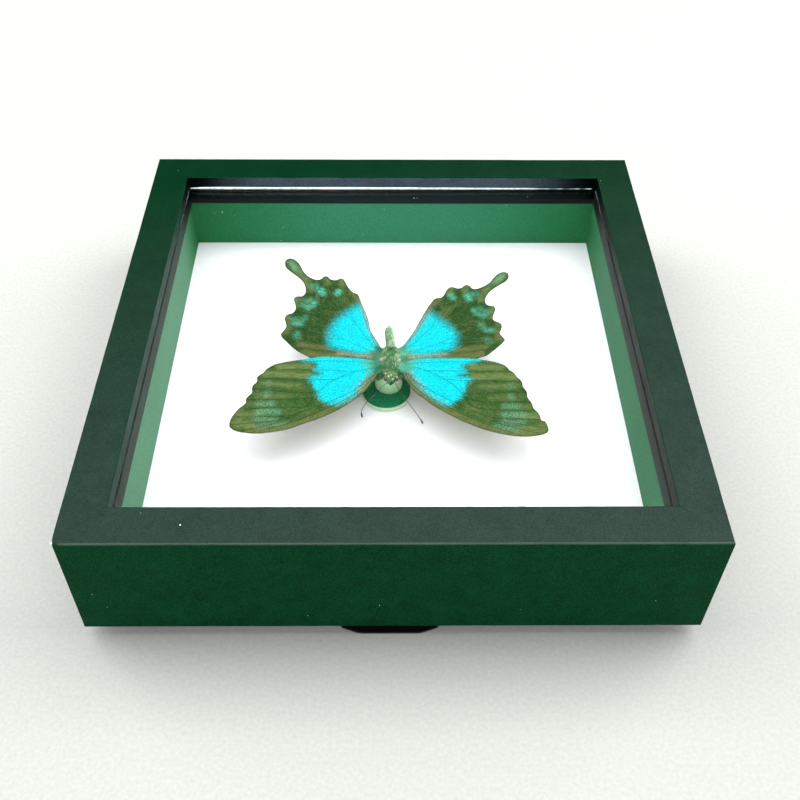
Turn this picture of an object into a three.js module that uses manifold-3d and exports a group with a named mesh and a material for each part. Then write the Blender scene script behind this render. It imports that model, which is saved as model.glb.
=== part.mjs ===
// Framed swallowtail butterfly: a deep mitred box frame lying on its back, with the insect
// glued to a small pedestal above a white board, behind glass.
// Millimetres, +Z up. The origin is on the surface that the frame lies on, under its middle.
// The butterfly's head points to -Y, which is the frame's top edge when it hangs on a wall.

import * as THREE from 'three';
import { mergeVertices } from 'three/addons/utils/BufferGeometryUtils.js';
import Module from 'manifold-3d';

const wasm = await Module();
wasm.setup();

// Frame
const frameSide = 178;
const frameDepth = 41;
const faceWidth = 12.35;
const lipDepth = 4.8;
const rabbetWidth = 4;
const edgeEase = 0.35;

// Sheets held in the frame
const glassThickness = 2;
const boardTop = 9.5;
const boardThickness = 1.5;
const backingThickness = 3;
const slip = 0.1;
const sideSlip = 0.3;

// Hanger and framer's points
const hangerDrop = 4;
const hangerWidth = 8;
const hangerSteel = 0.6;
const hangerMiddle = -1.1;
const hangerFlat = 17.5;
const hangerRamp = 5.3;
const hangerFoot = 7;
const hangerTaper = 1.6;
const toothCount = 9;
const toothDepth = 1.2;
const nailHeadRadius = 1.5;
const nailHeadHeight = 0.5;
const pointLength = 9;
const pointWidth = 7;
const pointSteel = 0.5;
const pointSpacing = 45;

// Pedestal
const padRadius = 8.3;
const padHeight = 1.5;
const discRadius = 8.15;
const discHeight = 0.5;
const discCentre = [-2.3, -6];
const stubRadius = 4.6;
const stubCentre = [-1.5, -3.8];

// Insect
const bodyX = -1;
const bodyHeight = 22.1;
const wingRise = 4;
const wingThickness = 0.35;
const hindwingDrop = 0.9;
const hindwingShift = 0.95;
const thoraxRadius = 3.3;
const antennaRadius = 0.25;

const half = frameSide / 2;
const innerHalf = half - faceWidth;
const rabbetHalf = innerHalf + rabbetWidth;
const glassTop = frameDepth - lipDepth - slip;
const glassUnder = glassTop - glassThickness;

const paint = { color: 0x0f2c20, roughness: 0.4, metalness: 0 };
const liner = { color: 0x4f7f66, roughness: 0.8, metalness: 0 };
const clear = { color: 0xf2fbf7, roughness: 0.02, metalness: 0, transparent: true, opacity: 0.25 };
const whiteCard = { color: 0xf4f4f5, roughness: 0.9, metalness: 0 };
const hardboard = { color: 0x6b4a2c, roughness: 0.8, metalness: 0 };
const zincedSteel = { color: 0x9a9c9e, roughness: 0.35, metalness: 1 };
const blackSteel = { color: 0x0a0b0b, roughness: 0.4, metalness: 0.6 };
const paleFoam = { color: 0xb7d0b4, roughness: 0.7, metalness: 0 };
const darkFelt = { color: 0x1f6a49, roughness: 0.9, metalness: 0 };
const wingScales = { color: 0x36562c, roughness: 0.7, metalness: 0 };
const bodyScales = { color: 0x4e6f3f, roughness: 0.8, metalness: 0 };
const chitin = { color: 0x1c1a12, roughness: 0.4, metalness: 0 };

const group = new THREE.Group();
const frame = new THREE.Group(); // its zero height is the rails' back, which the hanger holds up
frame.position.z = hangerDrop;
group.add(frame);

function addMesh(name, geometry, look, parent = frame) {
  const mesh = new THREE.Mesh(geometry, new THREE.MeshStandardMaterial(look));
  mesh.name = name;
  parent.add(mesh);
  return mesh;
}

function shapeFrom(points) {
  return new THREE.Shape(points.map(([x, y]) => new THREE.Vector2(x, y)));
}

// A prism: an outline in XY, from one height to another.
function prism(shape, zLow, zHigh, segments = 12) {
  const settings = { depth: zHigh - zLow, bevelEnabled: false, curveSegments: segments };
  return new THREE.ExtrudeGeometry(shape, settings).translate(0, 0, zLow);
}

function sheet(width, length, zLow, zHigh) {
  const box = new THREE.BoxGeometry(width, length, zHigh - zLow);
  return box.translate(0, 0, (zLow + zHigh) / 2);
}

// A moulding of the given section, mitred at both ends. The section's x is the distance in from
// the frame's outer face, and its y is the height. It lies along X, on the -Y side.
function mitredMoulding(section) {
  const geometry = prism(shapeFrom(section), 0, 1);
  const place = geometry.attributes.position;
  for (let i = 0; i < place.count; i += 1) {
    const inset = place.getX(i);
    const height = place.getY(i);
    const reach = half - inset - slip / 2;
    const end = place.getZ(i) > 0.5 ? 1 : -1;
    place.setXYZ(i, end * reach, inset - half, height);
  }
  geometry.computeVertexNormals();
  return geometry;
}

const sides = [
  ['near', 0],
  ['right', Math.PI / 2],
  ['far', Math.PI],
  ['left', -Math.PI / 2],
];

function addRails() {
  const wall = faceWidth - rabbetWidth;
  const section = [
    [edgeEase, 0],
    [wall, 0],
    [wall, frameDepth - lipDepth],
    [faceWidth, frameDepth - lipDepth],
    [faceWidth, frameDepth - edgeEase],
    [faceWidth - edgeEase, frameDepth],
    [edgeEase, frameDepth],
    [0, frameDepth - edgeEase],
    [0, edgeEase],
  ];
  for (const [side, turn] of sides) {
    addMesh(`rail_${side}`, mitredMoulding(section), paint).rotation.z = turn;
  }
}

function addSpacers() {
  const section = [
    [faceWidth - rabbetWidth + sideSlip, boardTop + slip],
    [faceWidth, boardTop + slip],
    [faceWidth, glassUnder - slip],
    [faceWidth - rabbetWidth + sideSlip, glassUnder - slip],
  ];
  for (const [side, turn] of sides) {
    addMesh(`spacer_${side}`, mitredMoulding(section), liner).rotation.z = turn;
  }
}

function addSheets() {
  const side = 2 * (rabbetHalf - sideSlip);
  const boardUnder = boardTop - boardThickness;
  const backingTop = boardUnder - slip;
  addMesh('glass_pane', sheet(side, side, glassUnder, glassTop), clear);
  addMesh('mount_board', sheet(side, side, boardUnder, boardTop), whiteCard);
  addMesh('backing_board', sheet(side, side, backingTop - backingThickness, backingTop), hardboard);
}

// Small steel tongues pressed against the backing board, two on each side.
function addFramerPoints() {
  const top = boardTop - boardThickness - backingThickness - 2 * slip;
  const outer = rabbetHalf - slip;
  const outline = [
    [-pointWidth / 2, 0],
    [pointWidth / 2, 0],
    [pointWidth / 2, pointLength * 0.6],
    [0, pointLength],
    [-pointWidth / 2, pointLength * 0.6],
  ];
  let number = 1;
  for (const [, turn] of sides) {
    for (const along of [-pointSpacing, pointSpacing]) {
      const geometry = prism(shapeFrom(outline), top - pointSteel, top);
      geometry.translate(along, -outer, 0);
      addMesh(`framer_point_${number}`, geometry, zincedSteel).rotation.z = turn;
      number += 1;
    }
  }
}

// A closed solid for cutting, from a geometry's positions alone.
function solidFrom(geometry) {
  const bare = new THREE.BufferGeometry();
  bare.setAttribute('position', geometry.attributes.position);
  if (geometry.index) bare.setIndex(geometry.index);
  const merged = mergeVertices(bare, 1e-4);
  const triVerts = Uint32Array.from(merged.index.array);
  const vertProperties = Float32Array.from(merged.attributes.position.array);
  return new wasm.Manifold(new wasm.Mesh({ numProp: 3, vertProperties, triVerts }));
}

function geometryFrom(solid) {
  const mesh = solid.getMesh();
  const geometry = new THREE.BufferGeometry();
  geometry.setAttribute('position', new THREE.BufferAttribute(mesh.vertProperties, 3));
  geometry.setIndex(new THREE.BufferAttribute(mesh.triVerts, 1));
  geometry.computeVertexNormals();
  return geometry;
}

// A pressed strip whose middle stands off the rail on two ramps, lying along X.
function hangerStrip() {
  const flat = hangerFlat / 2;
  const foot = flat + hangerRamp;
  const tip = foot + hangerFoot;
  const rise = hangerDrop - hangerSteel - slip;
  const bend = [[flat - 0.9, 0], [flat, 0.13], [flat + 0.9, 0.5], [flat + 1.8, 1.02]];
  const right = [...bend, [foot, rise], [tip, rise]];
  const left = right.map(([x, z]) => [-x, z]).reverse();
  const stops = [...left, ...right];
  const over = stops.map(([x, z]) => [x, z + hangerSteel]).reverse();
  const strip = prism(shapeFrom([...stops, ...over]), -hangerWidth, 0);
  return strip.rotateX(Math.PI / 2);
}

// The tabs that lie on the rail are narrower than the raised middle.
function narrowTabs(strip) {
  const foot = hangerFlat / 2 + hangerRamp;
  const end = foot + hangerFoot + 0.2;
  let left = strip;
  for (const sign of [-1, 1]) {
    for (const [edge, inward] of [[0, 1], [hangerWidth, -1]]) {
      const outside = edge - 0.2 * inward;
      const inside = edge + hangerTaper * inward;
      const corner = [[foot - 0.6, outside], [end, outside], [end, inside], [foot + 1.6, inside]];
      const cutter = prism(shapeFrom(corner.map(([x, y]) => [sign * x, y])), -1, hangerDrop);
      left = left.subtract(solidFrom(cutter));
    }
  }
  return left;
}

// The strip's inner edge is notched into saw teeth, where a wall nail catches.
function addHanger() {
  const pitch = hangerFlat / toothCount;
  const mouth = pitch * 0.42;
  const notch = [[-mouth, hangerWidth + 0.2], [0, hangerWidth - toothDepth], [mouth, hangerWidth + 0.2]];
  let strip = solidFrom(hangerStrip());
  for (let i = 0; i < toothCount; i += 1) {
    const cutter = prism(shapeFrom(notch), -1, hangerSteel + 0.5);
    cutter.translate((i - (toothCount - 1) / 2) * pitch, 0, 0);
    strip = strip.subtract(solidFrom(cutter));
  }
  strip = narrowTabs(strip);
  const hanger = geometryFrom(strip).translate(hangerMiddle, -half, 0);
  addMesh('sawtooth_hanger', hanger, blackSteel, group);

  const nailX = hangerFlat / 2 + hangerRamp + hangerFoot / 2;
  const nailTop = hangerDrop - hangerSteel - 2 * slip;
  for (const [side, sign] of [['left', -1], ['right', 1]]) {
    const nail = new THREE.LatheGeometry(nailProfile(), 16).rotateX(-Math.PI / 2);
    nail.translate(hangerMiddle + sign * nailX, -half + hangerWidth / 2, nailTop);
    addMesh(`hanger_nail_${side}`, nail, zincedSteel, group);
  }
}

// A low domed nail head: the profile runs from the rim's flat side to the crown.
function nailProfile() {
  const rim = [nailHeadRadius, 0.2];
  const shoulder = [nailHeadRadius * 0.7, nailHeadHeight];
  const points = [[0, 0], [nailHeadRadius, 0], rim, shoulder, [0, nailHeadHeight]];
  return points.map(([x, y]) => new THREE.Vector2(x, y));
}

// An upright round piece whose middle is at [x, y].
function roundPiece(radius, zLow, zHigh, [x, y], segments) {
  const piece = new THREE.CylinderGeometry(radius, radius, zHigh - zLow, segments);
  return piece.rotateX(Math.PI / 2).translate(x, y, (zLow + zHigh) / 2);
}

function addPedestal() {
  const padLow = boardTop + slip;
  const discLow = padLow + padHeight + slip;
  const stubLow = discLow + discHeight + slip;
  const stubHigh = bodyHeight - thoraxRadius - slip;
  addMesh('pedestal_pad', roundPiece(padRadius, padLow, padLow + padHeight, discCentre, 40), paleFoam);
  addMesh('pedestal_disc', roundPiece(discRadius, discLow, discLow + discHeight, discCentre, 40), darkFelt);
  addMesh('pedestal_stub', roundPiece(stubRadius, stubLow, stubHigh, stubCentre, 32), paleFoam);
}

// The body is turned about the Y axis: [distance along Y, radius] from the face to the tip.
const bodyProfile = [
  [-13, 0], [-12.6, 1.2], [-11.6, 2.1], [-10.4, 2.35], [-9.2, 2], [-8.4, 2.05],
  [-7.4, 2.6], [-6, 3.1], [-4, thoraxRadius], [-1.5, 3.1], [0.8, 2.5], [2.6, 1.65],
  [4.5, 1.5], [7, 1.55], [10, 1.5], [12.6, 1.2], [14.6, 0.55], [15.3, 0],
];

function bodyShape() {
  const keys = bodyProfile.map(([along, radius]) => new THREE.Vector2(radius, along));
  const points = new THREE.SplineCurve(keys).getPoints(2 * keys.length);
  points[0].x = 0;
  points[points.length - 1].x = 0;
  return new THREE.LatheGeometry(points, 20);
}

// Wing outlines, as [distance out from the body's axis, distance along Y] in the wing's own
// plane. Each runs from the root out along the front edge, round the scallops and back.
const forewingLeft = [
  [3.7, -8.6], [4.8, -10.9], [7, -15.6], [10, -19.8], [14, -23.8], [18, -27.2], [22, -29.9],
  [27, -32.6], [32, -35.2], [37, -36.8], [41, -37.5], [45, -37.3], [47.6, -36.7],
  [49.2, -35.5], [49.6, -34.2], [49.3, -31.8], [48.6, -29.8], [47.4, -27.4], [46, -25.7],
  [45.5, -24.8], [45.6, -23.4], [45.1, -22.1], [44.2, -20.9], [43.9, -20], [44.2, -18.6],
  [43.9, -17.1], [43.1, -16], [42.8, -15.1], [43, -13.8], [42.6, -12.7], [41.4, -11.5],
  [40.9, -10.7], [40.5, -9.7], [39.4, -8.5], [37.8, -7.2], [35.4, -6.2], [32, -5.1],
  [29, -4.3], [25.5, -3.2], [22, -2.4], [17, -2.2], [11, -2.4], [7, -2.7], [4, -3.2],
  [3.6, -4.5], [3.6, -6.5],
];
const forewingRight = [
  [3.6, -8.4], [5.2, -12.5], [7, -16.2], [10, -20], [14, -24.3], [18, -27.7], [22, -30.8],
  [26, -33.3], [30, -35.5], [34, -37.1], [38, -38.3], [42, -38.8], [45.4, -38.5],
  [47.6, -37.9], [48.7, -36.9], [48.7, -35.4], [48.1, -33.1], [47.1, -32.7], [46.8, -32.1],
  [46.7, -30.8], [46.1, -29], [45.2, -27.6], [44.9, -26.3], [44.7, -24.9], [43.9, -23],
  [43.6, -21.8], [43.7, -20.3], [43.2, -18.7], [42.6, -17.6], [42.6, -16], [42.2, -14.6],
  [41.2, -13.3], [40.7, -12.1], [40.1, -10.9], [39, -9.8], [38.4, -8.6], [37.4, -7.3],
  [35.4, -6.2], [32.6, -5.1], [29.6, -4.2], [26, -3.6], [21, -3.1], [15, -2.6], [10, -2.5],
  [6, -2.9], [4, -3.4], [3.6, -5], [3.6, -6.8],
];
const hindwingLeft = [
  [3.4, -4], [8, -4.8], [14, -5.2], [20, -5], [25, -4], [28, -2.4], [31, -0.4], [33, 1.5],
  [35, 3.9], [36.4, 5.6], [37, 7], [36.6, 8.2], [35.8, 9.9], [35.5, 11.6], [35.9, 13.6],
  [36.3, 15.2], [35.9, 16.7], [35, 17.6], [33.8, 18.2], [33.1, 19.5], [32.9, 21.2],
  [33.3, 23.4], [33.8, 25.4], [33.5, 26.5], [32.6, 27.2], [31.2, 27.3], [30.4, 28.2],
  [30, 29.8], [30.2, 32.4], [31, 34.9], [32.4, 37], [34.2, 38.8], [36.2, 40.7], [37.6, 42.4],
  [38.3, 44.6], [38.1, 46.6], [37.2, 47.7], [36, 47.9], [34.8, 47.2], [33.6, 45.9],
  [32.5, 43.8], [31.4, 41.1], [30.2, 39.2], [28.8, 37.9], [27.2, 36.9], [25.8, 36.8],
  [24.8, 37.3], [24.1, 38.4], [23.2, 39], [22.4, 38.7], [21.6, 37.6], [20.4, 37.1],
  [19.2, 37.2], [18.2, 38], [17.3, 38.2], [16.5, 37.4], [15.7, 35.4], [14.6, 33],
  [13.4, 31.2], [12.6, 30.6], [11.7, 30.3], [11, 29], [10.2, 26.2], [9.1, 22.6], [8.1, 19.4],
  [7.2, 15.4], [6.6, 11.4], [5, 7.6], [3.6, 4.4], [3.2, 2],
];
const hindwingRight = [
  [3.4, -4], [8, -4.8], [14, -5.3], [20, -5.6], [26, -5], [29.6, -3.6], [32, -2.7], [34, -1],
  [36.5, 1.5], [38.2, 3.5], [38.6, 4.5], [38.1, 5.7], [37.3, 7.2], [37.3, 8.2], [37.9, 9.8],
  [38.2, 11.4], [37.8, 12.7], [36.6, 13.5], [35.7, 14.3], [35.4, 15.6], [35.8, 17.4],
  [36.4, 19.2], [36.6, 20.6], [36.2, 21.7], [35, 22.1], [33.9, 22.7], [33.4, 24.1],
  [33.6, 26.1], [34.3, 28], [35.6, 29.9], [37.4, 31.7], [39.4, 33.3], [41.2, 34.7],
  [42.3, 36.2], [42.7, 38], [42.3, 39.4], [41.2, 40], [39.8, 39.7], [38.4, 38.6],
  [37.2, 37.1], [36, 35.1], [34.7, 33.7], [33, 32.5], [31.2, 31.6], [29.9, 31.5], [29.1, 32],
  [28.5, 33.1], [27.4, 33.9], [26.3, 33.4], [25.5, 32.5], [24.3, 32.2], [23.1, 32.7],
  [21.9, 33.2], [20.8, 32.6], [19.9, 31.2], [19, 29], [18, 27.8], [16.7, 27.6], [15.5, 27.1],
  [14.6, 25.6], [13, 22.6], [11, 18.1], [9.2, 13.8], [7.8, 10.4], [5.4, 6], [3.9, 3.6],
  [3.2, 2],
];

// A thin plate inside a smooth closed line through the outline's points.
function wingPlate(outline, sign) {
  const points = outline.map(([out, along]) => new THREE.Vector2(sign * out, along));
  const shape = new THREE.Shape();
  shape.moveTo(points[0].x, points[0].y);
  shape.splineThru([...points.slice(1), points[0]]);
  return prism(shape, -wingThickness / 2, wingThickness / 2, 2);
}

// Antenna routes in the plane of the body's axis, from the face to the club's tip.
const antennaLeft = [
  [1.8, -13.4], [3.6, -16.2], [5.6, -18.9], [7.5, -21.6], [8.6, -23.8], [9.1, -26], [8.7, -27.6],
];
const antennaRight = [
  [1.5, -13.4], [2.9, -16.6], [4.6, -19.9], [6.5, -23.2], [8.6, -27.1], [10, -29.5],
];

function antennaTube(route, sign) {
  const points = route.map(([out, along]) => new THREE.Vector3(sign * out, along, 0));
  const path = new THREE.CatmullRomCurve3(points);
  const section = new THREE.Shape().absarc(0, 0, antennaRadius, 0, 2 * Math.PI);
  return new THREE.ExtrudeGeometry(section, { steps: 16, curveSegments: 6, extrudePath: path });
}

function addInsect() {
  const insect = new THREE.Group();
  insect.position.set(bodyX, 0, bodyHeight);
  addMesh('butterfly_body', bodyShape(), bodyScales, insect);
  const wings = [
    ['left', -1, forewingLeft, hindwingLeft, antennaLeft],
    ['right', 1, forewingRight, hindwingRight, antennaRight],
  ];
  for (const [side, sign, forewing, hindwing, antenna] of wings) {
    const wingPair = new THREE.Group();
    wingPair.rotation.y = -sign * THREE.MathUtils.degToRad(wingRise);
    addMesh(`forewing_${side}`, wingPlate(forewing, sign), wingScales, wingPair);
    const under = addMesh(`hindwing_${side}`, wingPlate(hindwing, sign), wingScales, wingPair);
    under.position.set(0, hindwingShift, -hindwingDrop);
    insect.add(wingPair);
    addMesh(`antenna_${side}`, antennaTube(antenna, sign), chitin, insect);
  }
  frame.add(insect);
}

addRails();
addSpacers();
addSheets();
addFramerPoints();
addHanger();
addPedestal();
addInsect();

export default group;
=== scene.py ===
import math

import bmesh
import bpy
import numpy as np
from mathutils import Matrix, Vector
from mathutils.geometry import delaunay_2d_cdt


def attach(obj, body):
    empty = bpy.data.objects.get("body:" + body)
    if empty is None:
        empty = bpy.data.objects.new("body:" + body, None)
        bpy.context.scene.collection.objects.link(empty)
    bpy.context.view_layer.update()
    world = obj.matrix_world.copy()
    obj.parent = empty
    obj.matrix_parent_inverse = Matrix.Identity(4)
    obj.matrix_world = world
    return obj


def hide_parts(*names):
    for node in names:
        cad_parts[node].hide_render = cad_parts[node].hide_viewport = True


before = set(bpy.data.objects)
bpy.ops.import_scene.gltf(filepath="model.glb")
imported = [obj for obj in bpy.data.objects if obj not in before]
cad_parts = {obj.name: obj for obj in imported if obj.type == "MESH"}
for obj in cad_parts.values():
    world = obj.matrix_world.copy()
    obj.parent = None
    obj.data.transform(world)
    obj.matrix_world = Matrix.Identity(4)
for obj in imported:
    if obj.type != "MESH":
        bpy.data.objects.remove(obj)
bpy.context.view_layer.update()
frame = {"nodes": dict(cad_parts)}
bpy.ops.object.select_all(action="DESELECT")
mm = 0.001
print("frame loaded:", len(frame["nodes"]), "nodes")


def linear(hexText):
    parts = [int(hexText[i:i + 2], 16) / 255 for i in (1, 3, 5)]
    return tuple(p / 12.92 if p <= 0.04045 else ((p + 0.055) / 1.055) ** 2.4 for p in parts) + (1.0,)


def perMetre(size):
    return 1000 / size  # texture scale for features of this many millimetres


# Fills inputs, by name or by number, with a value, a hex colour, or a link from a node or its output.
def fill(tree, node, values):
    inputs = [i for i in node.inputs if i.enabled]
    for key, value in values.items():
        target = inputs[key] if isinstance(key, int) else next(i for i in inputs if i.name == key)
        if hasattr(value, "outputs"):
            value = next(o for o in value.outputs if o.enabled)
        if isinstance(value, bpy.types.NodeSocket):
            tree.links.new(value, target)
        else:
            target.default_value = linear(value) if isinstance(value, str) else value


# Adds a node. Its inputs come in order or by name; settings are its own, or the stops of a ramp.
def addNode(tree, kind, inputs=(), **settings):
    node = tree.nodes.new(f"ShaderNode{kind}")
    for key, value in settings.items():
        if key == "stops":
            value = list(value)
            ramp = node.color_ramp.elements
            while len(ramp) < len(value):
                ramp.new(1)
            for stop, (place, colour) in zip(ramp, value):
                stop.position = place
                stop.color = linear(colour)
        else:
            setattr(node, key, value)
    fill(tree, node, inputs if isinstance(inputs, dict) else dict(enumerate(inputs)))
    return node


twoTone = (0.35, 0.65)  # where noise turns from a ramp's first colour to its second


def newMaterial(name, values):
    material = bpy.data.materials.new(name)
    material.use_nodes = True
    tree = material.node_tree
    tree.nodes.clear()
    shader = addNode(tree, "BsdfPrincipled", values)
    addNode(tree, "OutputMaterial", (shader,))
    return material, tree, shader


def giveMaterial(piece, *materials):
    piece.data.materials.clear()
    for material in materials:
        piece.data.materials.append(material)


def finishPiece(piece, slotName, *nodes):
    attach(piece, "root")
    if nodes:
        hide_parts(*nodes)
    piece.select_set(False)


def applyAll(piece):
    bpy.ops.object.select_all(action="DESELECT")
    bpy.context.view_layer.objects.active = piece
    piece.select_set(True)
    for modifier in list(piece.modifiers):
        bpy.ops.object.modifier_apply(modifier=modifier.name)


def newPiece(name, points, faces):
    mesh = bpy.data.meshes.new(name)
    mesh.from_pydata([tuple(p) for p in points], [], faces)
    piece = bpy.data.objects.new(name, mesh)
    bpy.context.scene.collection.objects.link(piece)
    bpy.context.view_layer.objects.active = piece
    return piece


def pointsOf(mesh):
    return np.array([v.co for v in mesh.vertices])


def movePoints(mesh, places):
    mesh.vertices.foreach_set("co", (places * mm).astype(np.float32).ravel())


# Repeatable smooth noise from -1 to 1, for moving vertices. Points in any unit of one feature.
def ripple(points, seed):
    points = np.asarray(points, float)
    random = np.random.default_rng(seed)
    total = np.zeros(len(points))
    for _ in range(7):
        way = random.normal(size=points.shape[1])
        total += np.sin(points @ way * 1.6 + random.uniform(0, 6.28))
    return np.clip(total / 4, -1, 1)


# Camera and light

camera = {
    "place": (-0.91, -238.15, 257.56),
    "right": (0.999948497, -0.00724600579, 0.00710630611),
    "up": (0.000399584492, 0.727756028, 0.685835989),
    "back": (-0.0101412287, -0.685797827, 0.727721441),
    "lens": 44.612,
    "shift": 0.000625,
}


def addCamera():
    data = bpy.data.cameras.new("camera")
    data.lens = camera["lens"]
    data.sensor_width = 36
    data.shift_x = -camera["shift"]
    data.shift_y = camera["shift"]
    data.clip_start = 0.01
    data.clip_end = 50
    eye = bpy.data.objects.new("camera", data)
    turn = Matrix([camera["right"], camera["up"], camera["back"]]).transposed().to_4x4()
    eye.matrix_world = Matrix.Translation(Vector(camera["place"]) * mm) @ turn
    bpy.context.scene.collection.objects.link(eye)
    bpy.context.scene.camera = eye


# From 0 in the two far inner corners of the frame to 1 far from them; low and high in millimetres.
def awayFromCorners(tree, spot, low, high):
    split = addNode(tree, "SeparateXYZ", (spot,)).outputs
    mirrored = addNode(tree, "Math", (split["X"],), operation="ABSOLUTE")
    flat = addNode(tree, "CombineXYZ", (mirrored, split["Y"]))
    corner = rail["innerCorner"] * mm
    gap = addNode(tree, "VectorMath", (flat, (corner, corner, 0)), operation="DISTANCE")
    return addNode(tree, "MapRange", (gap, low * mm, high * mm), interpolation_type="SMOOTHSTEP")


studio = {
    "sky": "#d9e6f6", "skyStrength": 0.2, "horizon": "#e6e8e6",
    "softboxes": [  # place, what it faces, width, depth and power
        ((0.05, 0.22, 1.0), (0.05, 0.22, 0), 1.7, 0.72, 24.6),
        ((1.1, 0.38, 0.75), (0, 0, 0.03), 1.3, 1.1, 28.8),
        ((-1.1, 0.38, 0.75), (0, 0, 0.03), 1.3, 1.1, 26.8),
        ((0, -1.0, 1.05), (0, 0, 0.03), 1.7, 0.9, 19),
    ],
    "floor": ("#8f908c", "#979893"), "floorSize": 6, "floorTouch": (-81, 0), "floorRise": 4 / 170,
}


def addStudio():
    # The sky lights the scene softly; the camera itself sees the paper's pale horizon.
    world = bpy.data.worlds.new("softSky")
    bpy.context.scene.world = world
    world.use_nodes = True
    tree = world.node_tree
    tree.nodes.clear()
    sky = addNode(tree, "Background", (studio["sky"], studio["skyStrength"]))
    horizon = addNode(tree, "Background", (studio["horizon"], 1.0))
    seen = addNode(tree, "LightPath").outputs["Is Camera Ray"]
    addNode(tree, "OutputWorld", (addNode(tree, "MixShader", (seen, sky, horizon)),))

    for number, (place, target, width, depth, power) in enumerate(studio["softboxes"]):
        data = bpy.data.lights.new(f"softbox{number}", "AREA")
        data.shape = "RECTANGLE"
        data.size, data.size_y = width, depth
        data.energy = power
        lamp = bpy.data.objects.new(f"softbox{number}", data)
        lamp.location = place
        lamp.visible_glossy = False  # drops the mirror image off the glass's upper surface only
        aim = Vector(target) - lamp.location
        lamp.rotation_euler = aim.to_track_quat("-Z", "Y").to_euler()
        bpy.context.scene.collection.objects.link(lamp)

    # The frame leans on its hanger, so the table slopes a little under it instead.
    touchY, touchZ = studio["floorTouch"]
    tilt = math.atan(studio["floorRise"])
    bpy.ops.mesh.primitive_plane_add(
        size=studio["floorSize"], location=(0, touchY * mm, (touchZ - 0.02) * mm), rotation=(tilt, 0, 0)
    )
    floor = bpy.context.active_object
    floor.name = "floor"
    # matt seamless paper: even, with a trace of tooth
    material, tree, shader = newMaterial("seamlessPaper", {"Roughness": 0.9})
    spot = addNode(tree, "TexCoord").outputs["Object"]
    tooth = addNode(tree, "TexNoise", (spot, perMetre(1.2), 3.0))
    tone = addNode(tree, "ValToRGB", (tooth,), stops=zip((0.3, 0.7), studio["floor"]))
    fill(tree, shader, {"Base Color": tone})
    giveMaterial(floor, material)
    floor.select_set(False)

    scene = bpy.context.scene
    scene.view_settings.view_transform = "Standard"
    scene.cycles.use_denoising = True
    scene.cycles.max_bounces = 16
    scene.cycles.transmission_bounces = 12


addCamera()
addStudio()
print("camera and light placed")


# Frame rails

rail = {
    "side": 178, "depth": 41, "face": 12.35, "lip": 4.8, "rabbet": 4, "back": 4,
    "mitreGap": 0.05, "ease": 0.45, "easeSteps": 4, "cuts": 150,
    "nib": 0.09, "nibSpacing": 0.55, "wave": 0.05, "waveSpacing": 9,
    # the first lacquer colours are black paint with a painted green reflection, the side colours a greener
    # painted reflection for upright faces, the dust colours a painted sheen for upward faces, and the arris
    # colour on the next line a painted highlight
    "lacquerWithGreenReflection": ("#021609", "#042413"), "sides": ("#01210f", "#084628"), "dust": ("#18221d", "#25312c"),
    "arrisHighlightTone": "#4f5a55", "mottle": 8, "grain": 0.34,
    # each side's lip wall colours are painted light and shade
    "lipWallLitAndShaded": {
        "near": ("#161d1b", "#212b28"), "right": ("#181c1a", "#232725"),
        "far": ("#303b43", "#4c5862"), "left": ("#16231d", "#283a32"),
    },
    "lipCornerShade": "#020605", "innerCorner": 76.6, "cornerShade": (3, 30),
    # the next two lines place the painted sheen on the upward faces and the painted highlight on the near
    # rail's front arris
    "sheenLean": -0.25, "sheenFrom": (0.09, -0.1), "upward": (0.5, 0.95),
    "arrisHighlightFrom": (0.1334, 0.1337), "arrisHighlight": 0.42,
    "roughness": 0.4, "peel": 0.9, "peelHeight": 0.012,
    "dented": {"frameRail_near": -1, "frameRail_left": 1}, "dentReach": 2.6, "dent": (0.4, 0.4, -0.5),
}


def addBlock(name, low, high):
    low, high = Vector(low) * mm, Vector(high) * mm
    bpy.ops.mesh.primitive_cube_add(size=1, location=(low + high) / 2, scale=high - low)
    block = bpy.context.active_object
    block.name = name
    block.data.name = name
    bpy.ops.object.transform_apply(location=True, rotation=True, scale=True)
    return block


def cutAway(piece, cutter, operation="DIFFERENCE"):
    cut = piece.modifiers.new("cut", "BOOLEAN")
    cut.operation = operation
    cut.object = cutter
    cut.solver = "EXACT"
    applyAll(piece)
    bpy.data.objects.remove(cutter)


# Selects edges in edit mode; chosen is given both ends in millimetres.
def selectEdges(piece, chosen):
    bpy.ops.mesh.select_mode(type="EDGE")
    bpy.ops.mesh.select_all(action="DESELECT")
    shape = bmesh.from_edit_mesh(piece.data)
    for edge in shape.edges:
        if chosen(edge.verts[0].co / mm, edge.verts[1].co / mm):
            edge.select_set(True)
    bmesh.update_edit_mesh(piece.data)


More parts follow.
